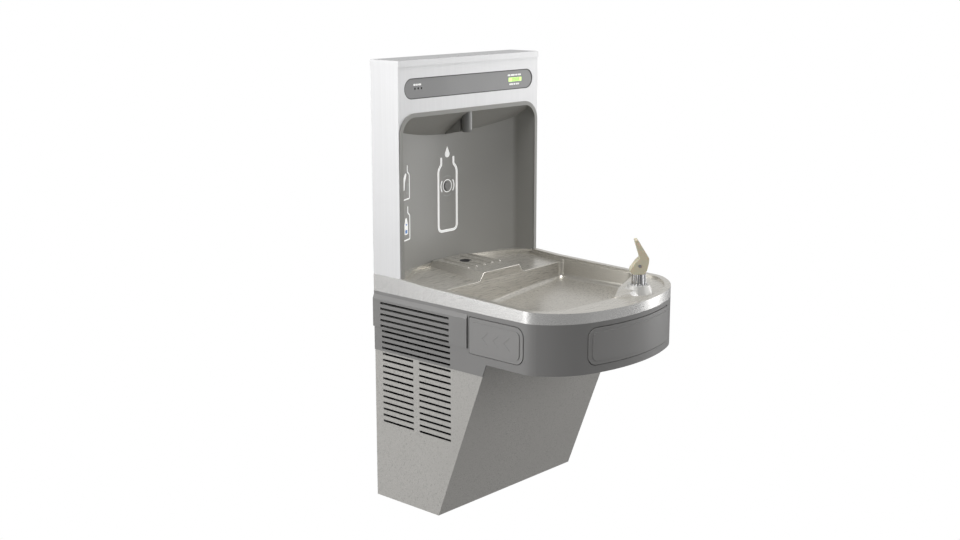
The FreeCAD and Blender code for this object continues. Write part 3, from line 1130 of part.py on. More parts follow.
def make_waste():
    drop = "bowl_floor_mid + bowl_slope * (bowl_drain_x + bowl_drain_hole + 6) - 22"
    route = [("bowl_drain_x", "-bowl_drain_depth", drop), ("bowl_drain_x", "-bowl_drain_depth", "trap_low"),
             ("waste_x", "-bowl_drain_depth", "trap_low"), ("waste_x", "-bowl_drain_depth", "waste_z"),
             ("waste_x", "0", "waste_z")]
    radius = num("waste_radius")
    full = pipe(route, radius, 24)
    hollow = pipe(route, radius - num("waste_wall"), 24)
    nut_at = ("waste_x", "-waste_stub - waste_nut", "waste_z")
    nut = cut("waste_nut_ring", cylinder("waste_nut_body", "Y", nut_at, "waste_radius + 5", "waste_nut"),
              cylinder("waste_nut_bore", "Y", nut_at, "waste_radius - waste_wall", "waste_nut"))
    trap = fuse("waste_pipe", feature("waste_tube", full.cut(hollow)), nut)
    branch = feature("platform_pipe", pipe(
        [("0", "-drain_depth", "ledge_front_z - 2"), ("0", "-drain_depth", "ledge_front_z - 60"),
         ("waste_x", "-drain_depth", "ledge_front_z - 90"),
         ("waste_x", "-drain_depth", "waste_z + waste_radius + 0.2")], num("drain_tube"), 20))
    node("waste_pipes", group("waste_group", trap, branch))
    node("regulator", fuse("regulator_fuse",
                           box("regulator_body", ("110", "150"), ("-500", "-470"),
                               ("apron_low + apron_wall", "422")),
                           cylinder("regulator_bonnet", "Z", ("130", "-485", "421"), "12", "9")))


def make_water_lines():
    head_z, lid = "(head_low + head_high) / 2", "lid_high"
    routes = {
        "supply": [("70", "-35", "380"), ("70", "-60", "380"), ("70", "-60", head_z),
                   ("filter_x - 35", "-60", head_z)],
        "filtered": [("filter_x", "-filter_depth - 35", head_z), ("filter_x", "-150", head_z),
                     ("filter_x", "-150", "370"), ("tank_x", "-150", "370"), ("tank_x", "-150", lid)],
        "chilled": [("tank_x - 20", "-150", lid), ("tank_x - 20", "-150", "400"),
                    ("tank_x - 20", "-485", "400"),
                    ("110", "-485", "400")],
        "bubbler": [("130", "-485", "430"), ("130", "-485", "455"), ("bubbler_x", "-bubbler_depth", "455"),
                    ("bubbler_x", "-bubbler_depth", "shank_low")],
        "filler": [("filter_x", "-60", "head_high"), ("filter_x", "-60", "head_high + 30"),
                   ("filter_x", "-riser_depth", "head_high + 30"),
                   ("filter_x", "-riser_depth", "nozzle_high + 9"),
                   ("22", "-riser_depth", "nozzle_high + 9")],
    }
    node("water_lines", group("water_group", *[
        feature("water_" + name, pipe(route, num("tube_radius"), 10)) for name, route in routes.items()]))


for make in (make_lower_panel, make_base_pan, make_back_frame, make_wall_hanger, make_shelf, make_apron,
             make_push_bars, make_basin, make_strainers, make_bubbler, make_tower,
             make_alcove, make_filler, make_display, make_compressor, make_condenser, make_fan,
             make_chiller, make_refrigerant_lines, make_electrics, make_filter, make_waste,
             make_water_lines):
    make()
doc.recompute()

faults = [f"{obj.Name}: {state}" for obj in doc.Objects for state in obj.State
          if state in ("Invalid", "Error")]
faults += [f"{name}: no valid shape" for name, obj in finished.items()
           if obj.Shape.isNull() or not obj.Shape.isValid() or not obj.Shape.Solids]
if faults:
    raise RuntimeError("sub-parts that failed: " + "; ".join(faults))

os.makedirs("parts", exist_ok=True)
for name, obj in finished.items():
    obj.Shape.exportStep(f"parts/{name}.step")
    extent = obj.Shape.BoundBox
    print(f"{name}: {len(obj.Shape.Solids)} solid(s), {obj.Shape.Volume / 1000:.1f} cm3, "
          f"x {extent.XMin:.1f}..{extent.XMax:.1f}  y {extent.YMin:.1f}..{extent.YMax:.1f}  "
          f"z {extent.ZMin:.1f}..{extent.ZMax:.1f}")
print(len(finished), "sub-parts")
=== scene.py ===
import json
import math

import bmesh
import bpy
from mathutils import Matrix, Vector
from mathutils.bvhtree import BVHTree


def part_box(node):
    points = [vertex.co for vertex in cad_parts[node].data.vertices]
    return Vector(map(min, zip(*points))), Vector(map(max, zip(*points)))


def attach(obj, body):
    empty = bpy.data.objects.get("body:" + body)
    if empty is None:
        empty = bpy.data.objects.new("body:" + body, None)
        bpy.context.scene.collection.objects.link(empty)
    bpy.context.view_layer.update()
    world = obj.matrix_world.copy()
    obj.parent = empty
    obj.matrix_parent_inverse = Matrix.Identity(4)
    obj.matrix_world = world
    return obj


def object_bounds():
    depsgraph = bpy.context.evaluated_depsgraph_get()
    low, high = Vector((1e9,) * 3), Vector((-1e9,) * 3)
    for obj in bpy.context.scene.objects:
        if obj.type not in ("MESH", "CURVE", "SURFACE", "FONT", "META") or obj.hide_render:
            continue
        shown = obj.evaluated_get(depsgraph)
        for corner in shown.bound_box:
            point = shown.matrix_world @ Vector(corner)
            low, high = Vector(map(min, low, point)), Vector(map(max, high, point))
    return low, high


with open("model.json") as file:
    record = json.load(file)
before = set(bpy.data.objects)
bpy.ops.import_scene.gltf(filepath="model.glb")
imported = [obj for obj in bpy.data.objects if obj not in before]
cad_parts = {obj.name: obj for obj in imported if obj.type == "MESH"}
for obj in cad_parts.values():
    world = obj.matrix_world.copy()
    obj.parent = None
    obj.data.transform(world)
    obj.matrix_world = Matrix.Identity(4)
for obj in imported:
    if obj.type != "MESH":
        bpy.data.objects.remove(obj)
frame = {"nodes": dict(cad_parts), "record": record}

CAD_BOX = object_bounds()
NODES = frame["nodes"]
MM = 0.001


# ---- node materials ----

def lin(r, g, b):
    """A display colour from 0 to 255 as the linear colour that shaders take."""
    return tuple((c / 255 / 12.92) if c < 11 else ((c / 255 + 0.055) / 1.055) ** 2.4 for c in (r, g, b))


class Mat:
    """A Principled material with its node tree at hand."""

    def __init__(self, name, colour, rough, metal=0.0, **sockets):
        self.material = bpy.data.materials.new(name)
        self.material.use_nodes = True
        self.tree = self.material.node_tree
        self.shader = self.tree.nodes["Principled BSDF"]
        self.colour = colour
        self.rough = rough
        self.shader.inputs["Base Color"].default_value = (*colour, 1)
        self.shader.inputs["Roughness"].default_value = rough
        self.shader.inputs["Metallic"].default_value = metal
        for key, value in sockets.items():
            self.shader.inputs[key.replace("_", " ")].default_value = value
        self.coord = self.tree.nodes.new("ShaderNodeTexCoord").outputs["Object"]
        self.last_colour = None
        self.last_normal = None

    def node(self, kind, **values):
        made = self.tree.nodes.new(kind)
        for key, value in values.items():
            setattr(made, key, value)
        return made

    def link(self, a, b):
        self.tree.links.new(a, b)

    def stretched(self, stretch):
        mapping = self.node("ShaderNodeMapping")
        mapping.inputs["Scale"].default_value = stretch
        self.link(self.coord, mapping.inputs["Vector"])
        return mapping.outputs["Vector"]

    def noise(self, scale, stretch=(1, 1, 1), detail=3.0, rough=0.5, distortion=0.0):
        made = self.node("ShaderNodeTexNoise")
        made.inputs["Scale"].default_value = scale
        made.inputs["Detail"].default_value = detail
        made.inputs["Roughness"].default_value = rough
        made.inputs["Distortion"].default_value = distortion
        self.link(self.stretched(stretch), made.inputs["Vector"])
        return made.outputs["Fac"]

    def cells(self, scale, stretch=(1, 1, 1), feature="F1"):
        made = self.node("ShaderNodeTexVoronoi", feature=feature)
        made.inputs["Scale"].default_value = scale
        self.link(self.stretched(stretch), made.inputs["Vector"])
        return made

    def spread(self, value, low, high, to_low, to_high):
        made = self.node("ShaderNodeMapRange")
        for key, number in (("From Min", low), ("From Max", high), ("To Min", to_low), ("To Max", to_high)):
            made.inputs[key].default_value = number
        self.link(value, made.inputs["Value"])
        return made.outputs["Result"]

    def tint(self, fac, other, low=0.35, high=0.65, most=1.0):
        """Mixes the colour so far towards other where fac is high."""
        mix = self.node("ShaderNodeMix", data_type="RGBA")
        self.link(self.spread(fac, low, high, 0, most), mix.inputs[0])
        if self.last_colour is None:
            mix.inputs[6].default_value = (*self.colour, 1)
        else:
            self.link(self.last_colour, mix.inputs[6])
        mix.inputs[7].default_value = (*other, 1)
        self.last_colour = mix.outputs[2]
        self.link(self.last_colour, self.shader.inputs["Base Color"])
        return self

    def polish(self, fac, amount, low=0.3, high=0.7):
        """Roughness varies by amount each way with fac."""
        self.link(self.spread(fac, low, high, max(self.rough - amount, 0.02), self.rough + amount),
                  self.shader.inputs["Roughness"])
        return self

    def relief(self, height, strength, distance):
        """Adds a bump on top of the one before it."""
        bump = self.node("ShaderNodeBump")
        bump.inputs["Strength"].default_value = strength
        bump.inputs["Distance"].default_value = distance
        self.link(height, bump.inputs["Height"])
        if self.last_normal is not None:
            self.link(self.last_normal, bump.inputs["Normal"])
        self.last_normal = bump.outputs["Normal"]
        self.link(self.last_normal, self.shader.inputs["Normal"])
        return self


def scaled(colour, by):
    return tuple(min(c * by, 1.0) for c in colour)


def brushed(name, colour, rough, metal, along, depth=0.1, streak=0.5, uneven=0.05):
    """Satin steel, with fine grain along one axis."""
    stretch = {"X": (0.02, 1, 1), "Y": (1, 0.02, 1), "Z": (1, 1, 0.02)}[along]
    m = Mat(name, colour, rough, metal)
    fine = m.noise(1400, stretch, detail=2)
    broad = m.noise(160, stretch, detail=2)
    cloud = m.noise(7, detail=2)
    m.tint(cloud, scaled(colour, 0.96), 0.4, 0.75)
    m.tint(broad, scaled(colour, 1.03), 0.42, 0.7, streak)
    m.polish(fine, uneven)
    m.relief(fine, depth, 0.0002)
    return m


def moulded(name, colour, rough, grain=1500, depth=0.12, **sockets):
    """Injection-moulded plastic with a fine spark texture."""
    m = Mat(name, colour, rough, **sockets)
    m.tint(m.noise(7, detail=2), scaled(colour, 0.965), 0.4, 0.8)
    m.tint(m.noise(grain, detail=1), scaled(colour, 1.04), 0.5, 0.75, 0.7)
    m.polish(m.noise(240, detail=3), 0.04)
    m.relief(m.noise(grain, detail=2), depth, 0.0002)
    return m


def speckled(name, colour, dark, pale, rough):
    """Vinyl-coated sheet with a granite print and a leathery emboss."""
    m = Mat(name, colour, rough)
    m.tint(m.noise(330, detail=4, rough=0.75), dark, 0.54, 0.66, 0.8)
    m.tint(m.noise(410, detail=4, rough=0.75), pale, 0.55, 0.67, 0.8)
    m.tint(m.noise(6, detail=2), scaled(colour, 0.95), 0.4, 0.8, 0.6)
    m.relief(m.noise(420, detail=3), 0.35, 0.0004)
    m.polish(m.noise(300), 0.08)
    return m


def galvanised(name, colour, rough):
    m = Mat(name, colour, rough, 0.85)
    cell = m.cells(70)
    shade = m.node("ShaderNodeSeparateColor")
    m.link(cell.outputs["Color"], shade.inputs[0])
    m.tint(shade.outputs[0], scaled(colour, 0.72), 0.2, 1.0, 0.8)
    m.polish(shade.outputs[1], 0.14, 0.0, 1.0)
    m.relief(m.noise(180, detail=4), 0.1, 0.0003)
    return m


def drawn_metal(name, colour, rough, depth=0.08):
    m = Mat(name, colour, rough, 1.0)
    m.tint(m.noise(30, detail=4), scaled(colour, 0.62), 0.5, 0.85, 0.8)
    m.polish(m.noise(90, detail=3), 0.08)
    m.relief(m.noise(600, detail=2), depth, 0.0002)
    return m


def lit(name, colour, strength):
    m = Mat(name, colour, 0.25)
    m.shader.inputs["Emission Color"].default_value = (*colour, 1)
    m.shader.inputs["Emission Strength"].default_value = strength
    m.tint(m.noise(60, detail=2), scaled(colour, 0.8), 0.4, 0.8)
    m.polish(m.noise(400), 0.05)
    return m


def painted(name, colour, rough, **sockets):
    m = Mat(name, colour, rough, **sockets)
    m.tint(m.noise(14, detail=3), scaled(colour, 0.8), 0.45, 0.8)
    m.polish(m.noise(80, detail=3), 0.06)
    m.relief(m.noise(260, detail=3), 0.1, 0.0003)
    return m


def beaded_foam(name, colour, **sockets):
    m = Mat(name, colour, 0.85, **sockets)
    cell = m.cells(260, feature="DISTANCE_TO_EDGE")
    m.tint(cell.outputs["Distance"], scaled(colour, 0.8), 0.12, 0.0, 0.7)
    m.relief(cell.outputs["Distance"], 0.5, 0.0012)
    return m


def lamp_board(name, colour):
    """Solder mask with copper runs that show through it."""
    m = Mat(name, colour, 0.35, Coat_Weight=0.4)
    run = m.cells(380, (1, 1, 1.8), "DISTANCE_TO_EDGE")
    m.tint(run.outputs["Distance"], scaled(colour, 2.1), 0.05, 0.0, 0.8)
    m.relief(run.outputs["Distance"], 0.2, 0.0003)
    return m


def fluted_chrome_painted_shade(name, colour, centre, count):
    """Polished metal with shallow upright flutes round an upright axis, and painted shade in stripes that
    follow the flutes.
    """
    m = drawn_metal(name, colour, 0.12, 0.02)
    shift = m.node("ShaderNodeVectorMath", operation="SUBTRACT")
    shift.inputs[1].default_value = centre
    m.link(m.coord, shift.inputs[0])
    parts = m.node("ShaderNodeSeparateXYZ")
    m.link(shift.outputs[0], parts.inputs[0])
    turn = m.node("ShaderNodeMath", operation="ARCTAN2")
    m.link(parts.outputs["Y"], turn.inputs[0])
    m.link(parts.outputs["X"], turn.inputs[1])
    times = m.node("ShaderNodeMath", operation="MULTIPLY")
    times.inputs[1].default_value = count
    m.link(turn.outputs[0], times.inputs[0])
    wave = m.node("ShaderNodeMath", operation="SINE")
    m.link(times.outputs[0], wave.inputs[0])
    # Painted shade: the colour darkens in stripes that follow the flutes.
    m.tint(wave.outputs[0], scaled(colour, 0.35), -0.2, 0.9, 0.85)
    return m.relief(wave.outputs[0], 0.6, 0.0008)


STEEL = (0.74, 0.74, 0.745)
SATIN = lin(186, 183, 176)
PANEL = lin(177, 175, 171)
APRON = lin(132, 131, 130)
WALL = lin(153, 152, 148)
IVORY = lin(208, 202, 178)

base_low, base_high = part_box("bubbler_base")
bubbler_axis = (base_low + base_high) / 2

LOOKS = {
    "tower_steel": brushed("tower_satin_steel", STEEL, 0.42, 0.35, "Z"),
    "basin_steel": brushed("basin_satin_steel", scaled(SATIN, 1.2), 0.28, 0.62, "X", 0.008, 0.3, 0.015),
    "chassis_zinc": galvanised("galvanised_chassis", (0.56, 0.58, 0.6), 0.42),
    "cabinet_granite": speckled("granite_vinyl_sheet", PANEL, lin(120, 118, 115), lin(206, 204, 200), 0.5),
    "apron_plastic": moulded("apron_moulding", APRON, 0.42),
    "bar_plastic": moulded("push_bar_moulding", scaled(APRON, 1.15), 0.36),
    "alcove_plastic": moulded("alcove_moulding", WALL, 0.38, 900, 0.06),
    "display_lens": moulded("display_overlay", lin(146, 146, 146), 0.34, 1400, 0.02, Coat_Weight=0.15),
    "lcd": lit("lcd_glow", lin(206, 244, 140), 0.9),
    "led": painted("status_lens", lin(26, 30, 28), 0.2, Coat_Weight=0.8),
    "circuit_board": lamp_board("solder_mask", (0.03, 0.2, 0.08)),
    "black_plastic": moulded("black_moulding", (0.025, 0.025, 0.027), 0.45),
    "nozzle_metal": brushed("nozzle_satin_metal", lin(142, 142, 141), 0.42, 0.5, "Z"),
    "chrome": drawn_metal("polished_chrome", (0.82, 0.82, 0.83), 0.12, 0.02),
    "guard_rubber": moulded("ivory_elastomer", IVORY, 0.5, 1100, 0.06, Subsurface_Weight=0.08),
    "black_rubber": moulded("black_rubber", (0.02, 0.02, 0.02), 0.7, 700, 0.2),
    "compressor_paint": painted("black_gloss_paint", (0.014, 0.014, 0.016), 0.25, Coat_Weight=0.5),
    "copper": drawn_metal("drawn_copper", (0.74, 0.36, 0.22), 0.28),
    "brass": drawn_metal("machined_brass", (0.72, 0.55, 0.25), 0.25),
    "fin_aluminium": brushed("fin_aluminium", (0.7, 0.71, 0.72), 0.35, 0.9, "Y"),
    "foam": beaded_foam("polystyrene_beads", (0.82, 0.82, 0.8)),
    "tank_steel": brushed("tank_steel", (0.5, 0.5, 0.5), 0.34, 0.9, "Z"),
    "white_plastic": moulded("white_moulding", (0.76, 0.76, 0.75), 0.35),
    "tube_plastic": moulded("milky_tube", (0.7, 0.73, 0.75), 0.3, Subsurface_Weight=0.15),
    "spring_steel": drawn_metal("spring_wire", (0.45, 0.45, 0.46), 0.3),
}
# The rim band: a lighter copy of the basin steel, painted light.
RIM_PAINTED_LIGHT = brushed("rim_painted_light_steel", lin(246, 245, 243), 0.27, 0.8, "X", 0.008, 0.2, 0.015)
PEDESTAL = brushed("pedestal_satin_steel", lin(206, 205, 202), 0.42, 0.35, "Z", 0.02)
# The cap's top: the tower steel darkened as painted shade.
CAP_TOP_PAINTED_SHADE = brushed("cap_top_painted_shade_steel", scaled(STEEL, 0.76), 0.3, 0.95, "X", 0.02)
FLUTES = 18
FLUTED = fluted_chrome_painted_shade("fluted_chrome_painted_shade", (0.78, 0.78, 0.79), (bubbler_axis.x, bubbler_axis.y, 0), FLUTES)
INK = painted("white_ink_painted_glow", lin(250, 250, 248), 0.45)
# The white ink glows a little: painted light, as ink is no lamp.
INK.shader.inputs["Emission Color"].default_value = (1, 1, 1, 1)
INK.shader.inputs["Emission Strength"].default_value = 0.28
PALE_INK = painted("grey_ink", lin(168, 168, 166), 0.45)
BLUE_INK = painted("blue_ink", lin(90, 140, 205), 0.4)
LCD_INK = painted("lcd_segments", lin(136, 186, 92), 0.4)
# Near-black sheet behind the louvres: painted shade inside the cabinet.
LOUVRE_SHADE = beaded_foam("dark_painted_shade_sheet", (0.004, 0.004, 0.004), Specular_IOR_Level=0.02)
SENSOR = moulded("sensor_window", lin(140, 139, 137), 0.18, 900, 0.02, Coat_Weight=0.4)
# The fairing is the alcove's moulding with a lighter colour: painted light against the shade it sits in.
FAIRING_PAINTED_LIGHT = moulded("nozzle_fairing_painted_light", lin(158, 157, 154), 0.4, 900, 0.05)
# The back frame is zinc, made near black here as painted shade that shows through the louvres.
CHASSIS_PAINTED_SHADE = painted("back_frame_painted_shade", (0.012, 0.012, 0.012), 0.6)
# Dark grey for painted shade: round the display strip and inside the sensor ring.
PAINTED_SHADE_GREY = moulded("painted_shade_grey", lin(72, 72, 72), 0.5)

OWN_LOOKS = {"bubbler_base": FLUTED, "bottle_sensor": SENSOR, "nozzle_fairing": FAIRING_PAINTED_LIGHT,
             "back_frame": CHASSIS_PAINTED_SHADE}
slots = {part["node"]: part["material_slot"] for part in frame["record"]["subparts"]}
for name, obj in NODES.items():
    look = OWN_LOOKS.get(name, LOOKS[slots[name]])
    if obj.data.materials:
        for i in range(len(obj.data.materials)):
            obj.data.materials[i] = look.material
    else:
        obj.data.materials.append(look.material)

# The basin's outer band is brushed steel given a lighter colour than the bowl, painted light on its upright
# outward faces, and the pedestal is a matt satin.
basin = NODES["basin"]
basin.data.materials.append(RIM_PAINTED_LIGHT.material)
apron_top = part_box("apron")[1].z
rim_slot = len(basin.data.materials) - 1
basin.data.materials.append(PEDESTAL.material)
pedestal_slot = rim_slot + 1
BASIN_MIDDLE_Y = -0.2
BAND_BELOW_APRON_TOP = 35 * MM
PEDESTAL_RADIUS, PEDESTAL_HEIGHT = 32.5 * MM, 11 * MM
pedestal_foot = base_low.z - PEDESTAL_HEIGHT
for face in basin.data.polygons:
    upright = abs(face.normal.z) < 0.5
    outside = face.normal.dot(Vector((face.center.x, face.center.y - BASIN_MIDDLE_Y, 0))) > 0
    at_the_back = face.normal.y >= 0.9
    if upright and outside and not at_the_back and face.center.z > apron_top - BAND_BELOW_APRON_TOP:
        face.material_index = rim_slot
    aside = Vector((face.center.x - bubbler_axis.x, face.center.y - bubbler_axis.y))
    if aside.length < PEDESTAL_RADIUS and face.center.z > pedestal_foot and face.normal.z > 0.05:
        face.material_index = pedestal_slot

# The cap's flat top is the same sheet given a darker colour, painted shade on its upward faces, and it is
# smoother and more metallic so it mirrors more.
cap = NODES["tower_cap"]
cap.data.materials.append(CAP_TOP_PAINTED_SHADE.material)
for face in cap.data.polygons:
    if face.normal.z > 0.9:
        face.material_index = len(cap.data.materials) - 1


# ---- softened edges on the CAD nodes ----

def soften(names, width, segments=2, angle=32):
    for name in names:
        edge = NODES[name].modifiers.new("edge", "BEVEL")
        edge.width = width
        edge.segments = segments
        edge.limit_method = "ANGLE"
        edge.angle_limit = math.radians(angle)
        edge.harden_normals = False


soften(["tower_shell", "tower_cap"], 0.6 * MM)
soften(["bubbler_guard"], 1.6 * MM, 3)
soften(["basin"], 1.1 * MM, 3, 24)
soften(["push_bar_front", "push_bar_left", "push_bar_right"], 0.7 * MM)
soften(["bubbler_base", "nozzle_fairing", "filler_nozzle", "filter_cartridge", "filter_head"], 0.5 * MM)


# ---- pieces made here ----

def piece(name, verts, faces, look, body):
    """A flat-shaded mesh that rides on a body and takes its finish from a slot."""
    mesh = bpy.data.meshes.new(name)
    mesh.from_pydata([tuple(v) for v in verts], [], faces)
    work = bmesh.new()
    work.from_mesh(mesh)
    bmesh.ops.remove_doubles(work, verts=work.verts, dist=1e-6)
    bmesh.ops.recalc_face_normals(work, faces=work.faces)
    work.to_mesh(mesh)
    work.free()
    obj = bpy.data.objects.new(name, mesh)
    bpy.context.collection.objects.link(obj)
    mesh.materials.append(look.material)
    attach(obj, body)
    return obj


def tree_of(name):
    """A CAD node's surface, for finding where a ray meets it."""
    mesh = NODES[name].data
    return BVHTree.FromPolygons([v.co.copy() for v in mesh.vertices],
                                [tuple(p.vertices) for p in mesh.polygons])


def rounded(corners, closed=False, steps=7):
    """A line through corners (x, z, radius), in millimetres, with its corners rounded."""
    line = []
    count = len(corners)
    for i, (x, z, r) in enumerate(corners):
        here = Vector((x, z))
        if r == 0 or (not closed and i in (0, count - 1)):
            line.append(here)
            continue
        before = Vector(corners[i - 1][:2])
        after = Vector(corners[(i + 1) % count][:2])
        a = here + (before - here).normalized() * r
        b = here + (after - here).normalized() * r
        line += [a.lerp(here, t).lerp(here.lerp(b, t), t) for t in (k / steps for k in range(steps + 1))]
    if closed:
        line.append(line[0])
    return line


def arc(x, z, radius, start, end, steps=24):
    """A stretch of a circle, from one angle in degrees to another."""
    turns = [math.radians(start + (end - start) * k / steps) for k in range(steps + 1)]
    return [Vector((x + radius * math.cos(t), z + radius * math.sin(t))) for t in turns]


def denser(line, step=4.0):
    """The same line with a point at least every step millimetres, so that it follows a curved wall."""
    out = [line[0]]
    for a, b in zip(line, line[1:]):
        n = max(1, int((b - a).length / step))
        out += [a.lerp(b, (k + 1) / n) for k in range(n)]
    return out


# Where a ray towards a node's front starts: in front of the alcove's wall, or of the whole object.
BEFORE_WALL_Y, BEFORE_ALL_Y = -0.35, -0.7


def on_wall(tree, x, z, off):
    """The point of a node's front face at x, z in millimetres, lifted off it towards -Y."""
    start_y = BEFORE_WALL_Y if tree is LINER else BEFORE_ALL_Y
    hit = tree.ray_cast(Vector((x * MM, start_y, z * MM)), Vector((0, 1, 0)))[0]
    return Vector((hit.x, hit.y - off * MM, hit.z))


def stroke(name, lines, width, tree, look, off=0.3):
    """Printed lines of one width that lie on a node's front."""
    verts, faces = [], []
    for line in lines:
        line = denser(line)
        first = len(verts)
        for i, p in enumerate(line):
            ahead = line[min(i + 1, len(line) - 1)] - line[max(i - 1, 0)]
            side = Vector((-ahead.y, ahead.x)).normalized() * width / 2
            for t in (-1, 0, 1):
                q = p + side * t
                verts.append(on_wall(tree, q.x, q.y, off))
        for i in range(len(line) - 1):
            a = first + 3 * i
            faces += [(a, a + 1, a + 4, a + 3), (a + 1, a + 2, a + 5, a + 4)]
    return film(name, verts, faces, look)


def blob(name, outlines, tree, look, off=0.3):
    """Printed solid shapes."""
    verts, faces = [], []
    for outline in outlines:
        first = len(verts)
        middle = sum(outline, Vector((0, 0))) / len(outline)
        verts.append(on_wall(tree, middle.x, middle.y, off))
        verts += [on_wall(tree, p.x, p.y, off) for p in outline]
        n = len(outline)
        faces += [(first, first + 1 + i, first + 1 + (i + 1) % n) for i in range(n)]
    return film(name, verts, faces, look)


def film(name, verts, faces, look):
    """Printed ink as a thin solid."""
    obj = piece(name, verts, faces, look, "body")
    thick = obj.modifiers.new("film", "SOLIDIFY")
    thick.thickness = 0.15 * MM
    thick.offset = 0
    return obj


def bar(x0, x1, z0, z1, r=0.8):
    """A rectangle with rounded corners."""
    return rounded([(x0, z0, r), (x1, z0, r), (x1, z1, r), (x0, z1, r)], True, 3)[:-1]


# The bottle mark on the alcove's back wall, round the sensor.
LINER = tree_of("alcove_liner")
sensor_low, sensor_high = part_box("bottle_sensor")
cx = (sensor_low.x + sensor_high.x) / 2 / MM
cz = (sensor_low.z + sensor_high.z) / 2 / MM
foot, head = cz - 106, cz + 68
half, neck = 31, 20.5
bottle_line = 6.3
ring_radius, shade_radius, side_arc_radius, faint_arc_radius = 14.3, 11.4, 22, 23.5
stroke("bottle_mark", [rounded([
    (cx - neck, head, 0), (cx - neck, head - 17, 3), (cx - half, head - 28, 9), (cx - half, foot, 14),
    (cx + half, foot, 14), (cx + half, head - 28, 9), (cx + neck, head - 17, 3), (cx + neck, head, 0)])],
    bottle_line, LINER, INK)
drop = [Vector((cx, head + 25))] + arc(cx, head + 6.5, 7.8, 28, -208, 26)
blob("drop_mark", [drop], LINER, INK)
stroke("sensor_ring", [arc(cx, cz, ring_radius, 0, 360, 48)], 1.9, LINER, INK)
# The dark crescent inside the ring is painted shadow.
stroke("sensor_shade", [arc(cx, cz, shade_radius, 110, 260, 30)], 2.2, LINER, PAINTED_SHADE_GREY)
stroke("sensor_side_arcs", [arc(cx, cz, side_arc_radius, -36, 36), arc(cx, cz, side_arc_radius, 144, 216)],
       3.2, LINER, INK)
stroke("sensor_faint_arcs", [arc(cx, cz, faint_arc_radius, 58, 122), arc(cx, cz, faint_arc_radius, 238, 302)],
       2.6, LINER, PALE_INK)

# Two small picture marks on the left of the wall: a cup under a hand, and a bottle being filled.
edge = -143
for label, low in (("hand", cz - 10), ("fill", cz - 103)):
    stroke(f"{label}_mark_line", [rounded([
        (edge - 30, low - 1, 0), (edge, low, 3), (edge, low + 55, 4), (edge - 8, low + 61, 2),
        (edge - 8, low + 76, 0)])], 3, LINER, INK)
blob("hand_mark", [rounded([(edge - 28, low + 115, 3), (edge - 21, low + 113, 3), (edge - 19, low + 132, 3),
                            (edge - 12, low + 149, 3), (edge - 17, low + 153, 2), (edge - 27, low + 138, 4)],
                           True, 4)[:-1]], LINER, INK)
blob("cup_mark", [rounded([(edge - 15, low + 104, 2), (edge - 4, low + 104, 2), (edge - 3, low + 128, 2),
                           (edge - 13, low + 128, 2)], True, 4)[:-1]], LINER, PALE_INK)
blob("fill_mark", [rounded([(edge - 23, low + 12, 3), (edge - 8, low + 12, 3), (edge - 8, low + 36, 4),
                            (edge - 13, low + 50, 2), (edge - 18, low + 50, 2), (edge - 23, low + 36, 4)],
                           True, 4)[:-1]], LINER, INK)
blob("fill_water_mark", [bar(edge - 20, edge - 11, low + 15, low + 23, 2),
                         bar(edge - 18, edge - 12, low + 33, low + 37, 1)],
     LINER, BLUE_INK, 0.6)


def dash_row(x, z, widths, height, gap):
    """Dashes side by side, which stand for a row of words."""
    row = []
    for width in widths:
        row.append(bar(x, x + width, z, z + height))
        x += width + gap
    return row


# Marks on the display: dashes in place of its words, and the counter's segments.
PLATE = tree_of("display_panel")
led_low, led_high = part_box("status_leds")
lcd_low, lcd_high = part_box("lcd_module")
dashes = dash_row(led_low.x / MM - 3, led_high.z / MM + 4, (7, 5, 9), 4, 1.5)
dashes += dash_row(lcd_low.x / MM - 4, lcd_high.z / MM + 4, (9, 14, 8, 10), 3.8, 2)
dashes += dash_row(lcd_low.x / MM + 2, lcd_low.z / MM - 8, (13, 6, 12), 3.8, 2)
blob("display_dashes", dashes, PLATE, INK, 0.25)

LCD = tree_of("lcd_module")
DIGITS, DIGIT_START, DIGIT_PITCH = 5, 13, 5.2
DIGIT_WIDTH, DIGIT_HALF, SEGMENT, SEGMENT_HALF = 3.5, 3, 0.9, 0.4
segments = []
for i in range(DIGITS):
    left = lcd_low.x / MM + DIGIT_START + i * DIGIT_PITCH
    right = left + DIGIT_WIDTH
    z = (lcd_low.z + lcd_high.z) / 2 / MM
    segments += [bar(x, x + SEGMENT, z - DIGIT_HALF, z + DIGIT_HALF, 0.2) for x in (left, right - SEGMENT)]
    segments += [bar(left, right, end - SEGMENT_HALF, end + SEGMENT_HALF, 0.2)
                 for end in (z - DIGIT_HALF, z + DIGIT_HALF)]
blob("lcd_digits", segments, LCD, LCD_INK, 0.2)

# A thin dark line round the display strip is painted shade of its recess.
display_half, display_mid, display_end = 212.6, 940, 21.6
shade_line_width = 1.5
right_end = arc(display_half - display_end, display_mid, display_end, -90, 90)
left_end = arc(display_end - display_half, display_mid, display_end, 90, 270)
stroke("display_recess_shade", [right_end + left_end + right_end[:1]], shade_line_width, PLATE, PAINTED_SHADE_GREY,
       0.2)


# ---- the basin's rolled edges ----

# The block's front and the ledge on each side of it, in millimetres.
LEDGE_FRONT, LEDGE_EDGE_Z = -178.4, 506.9
BLOCK_FACE, BLOCK_TOP_Z = -175.0, 525.5
BLOCK_TOP, BLOCK_FOOT, LEDGE_END = 60.0, 73.9, 201.0
FACE_INTO_BLOCK, FACE_INTO_LEDGE = 0.5, 1


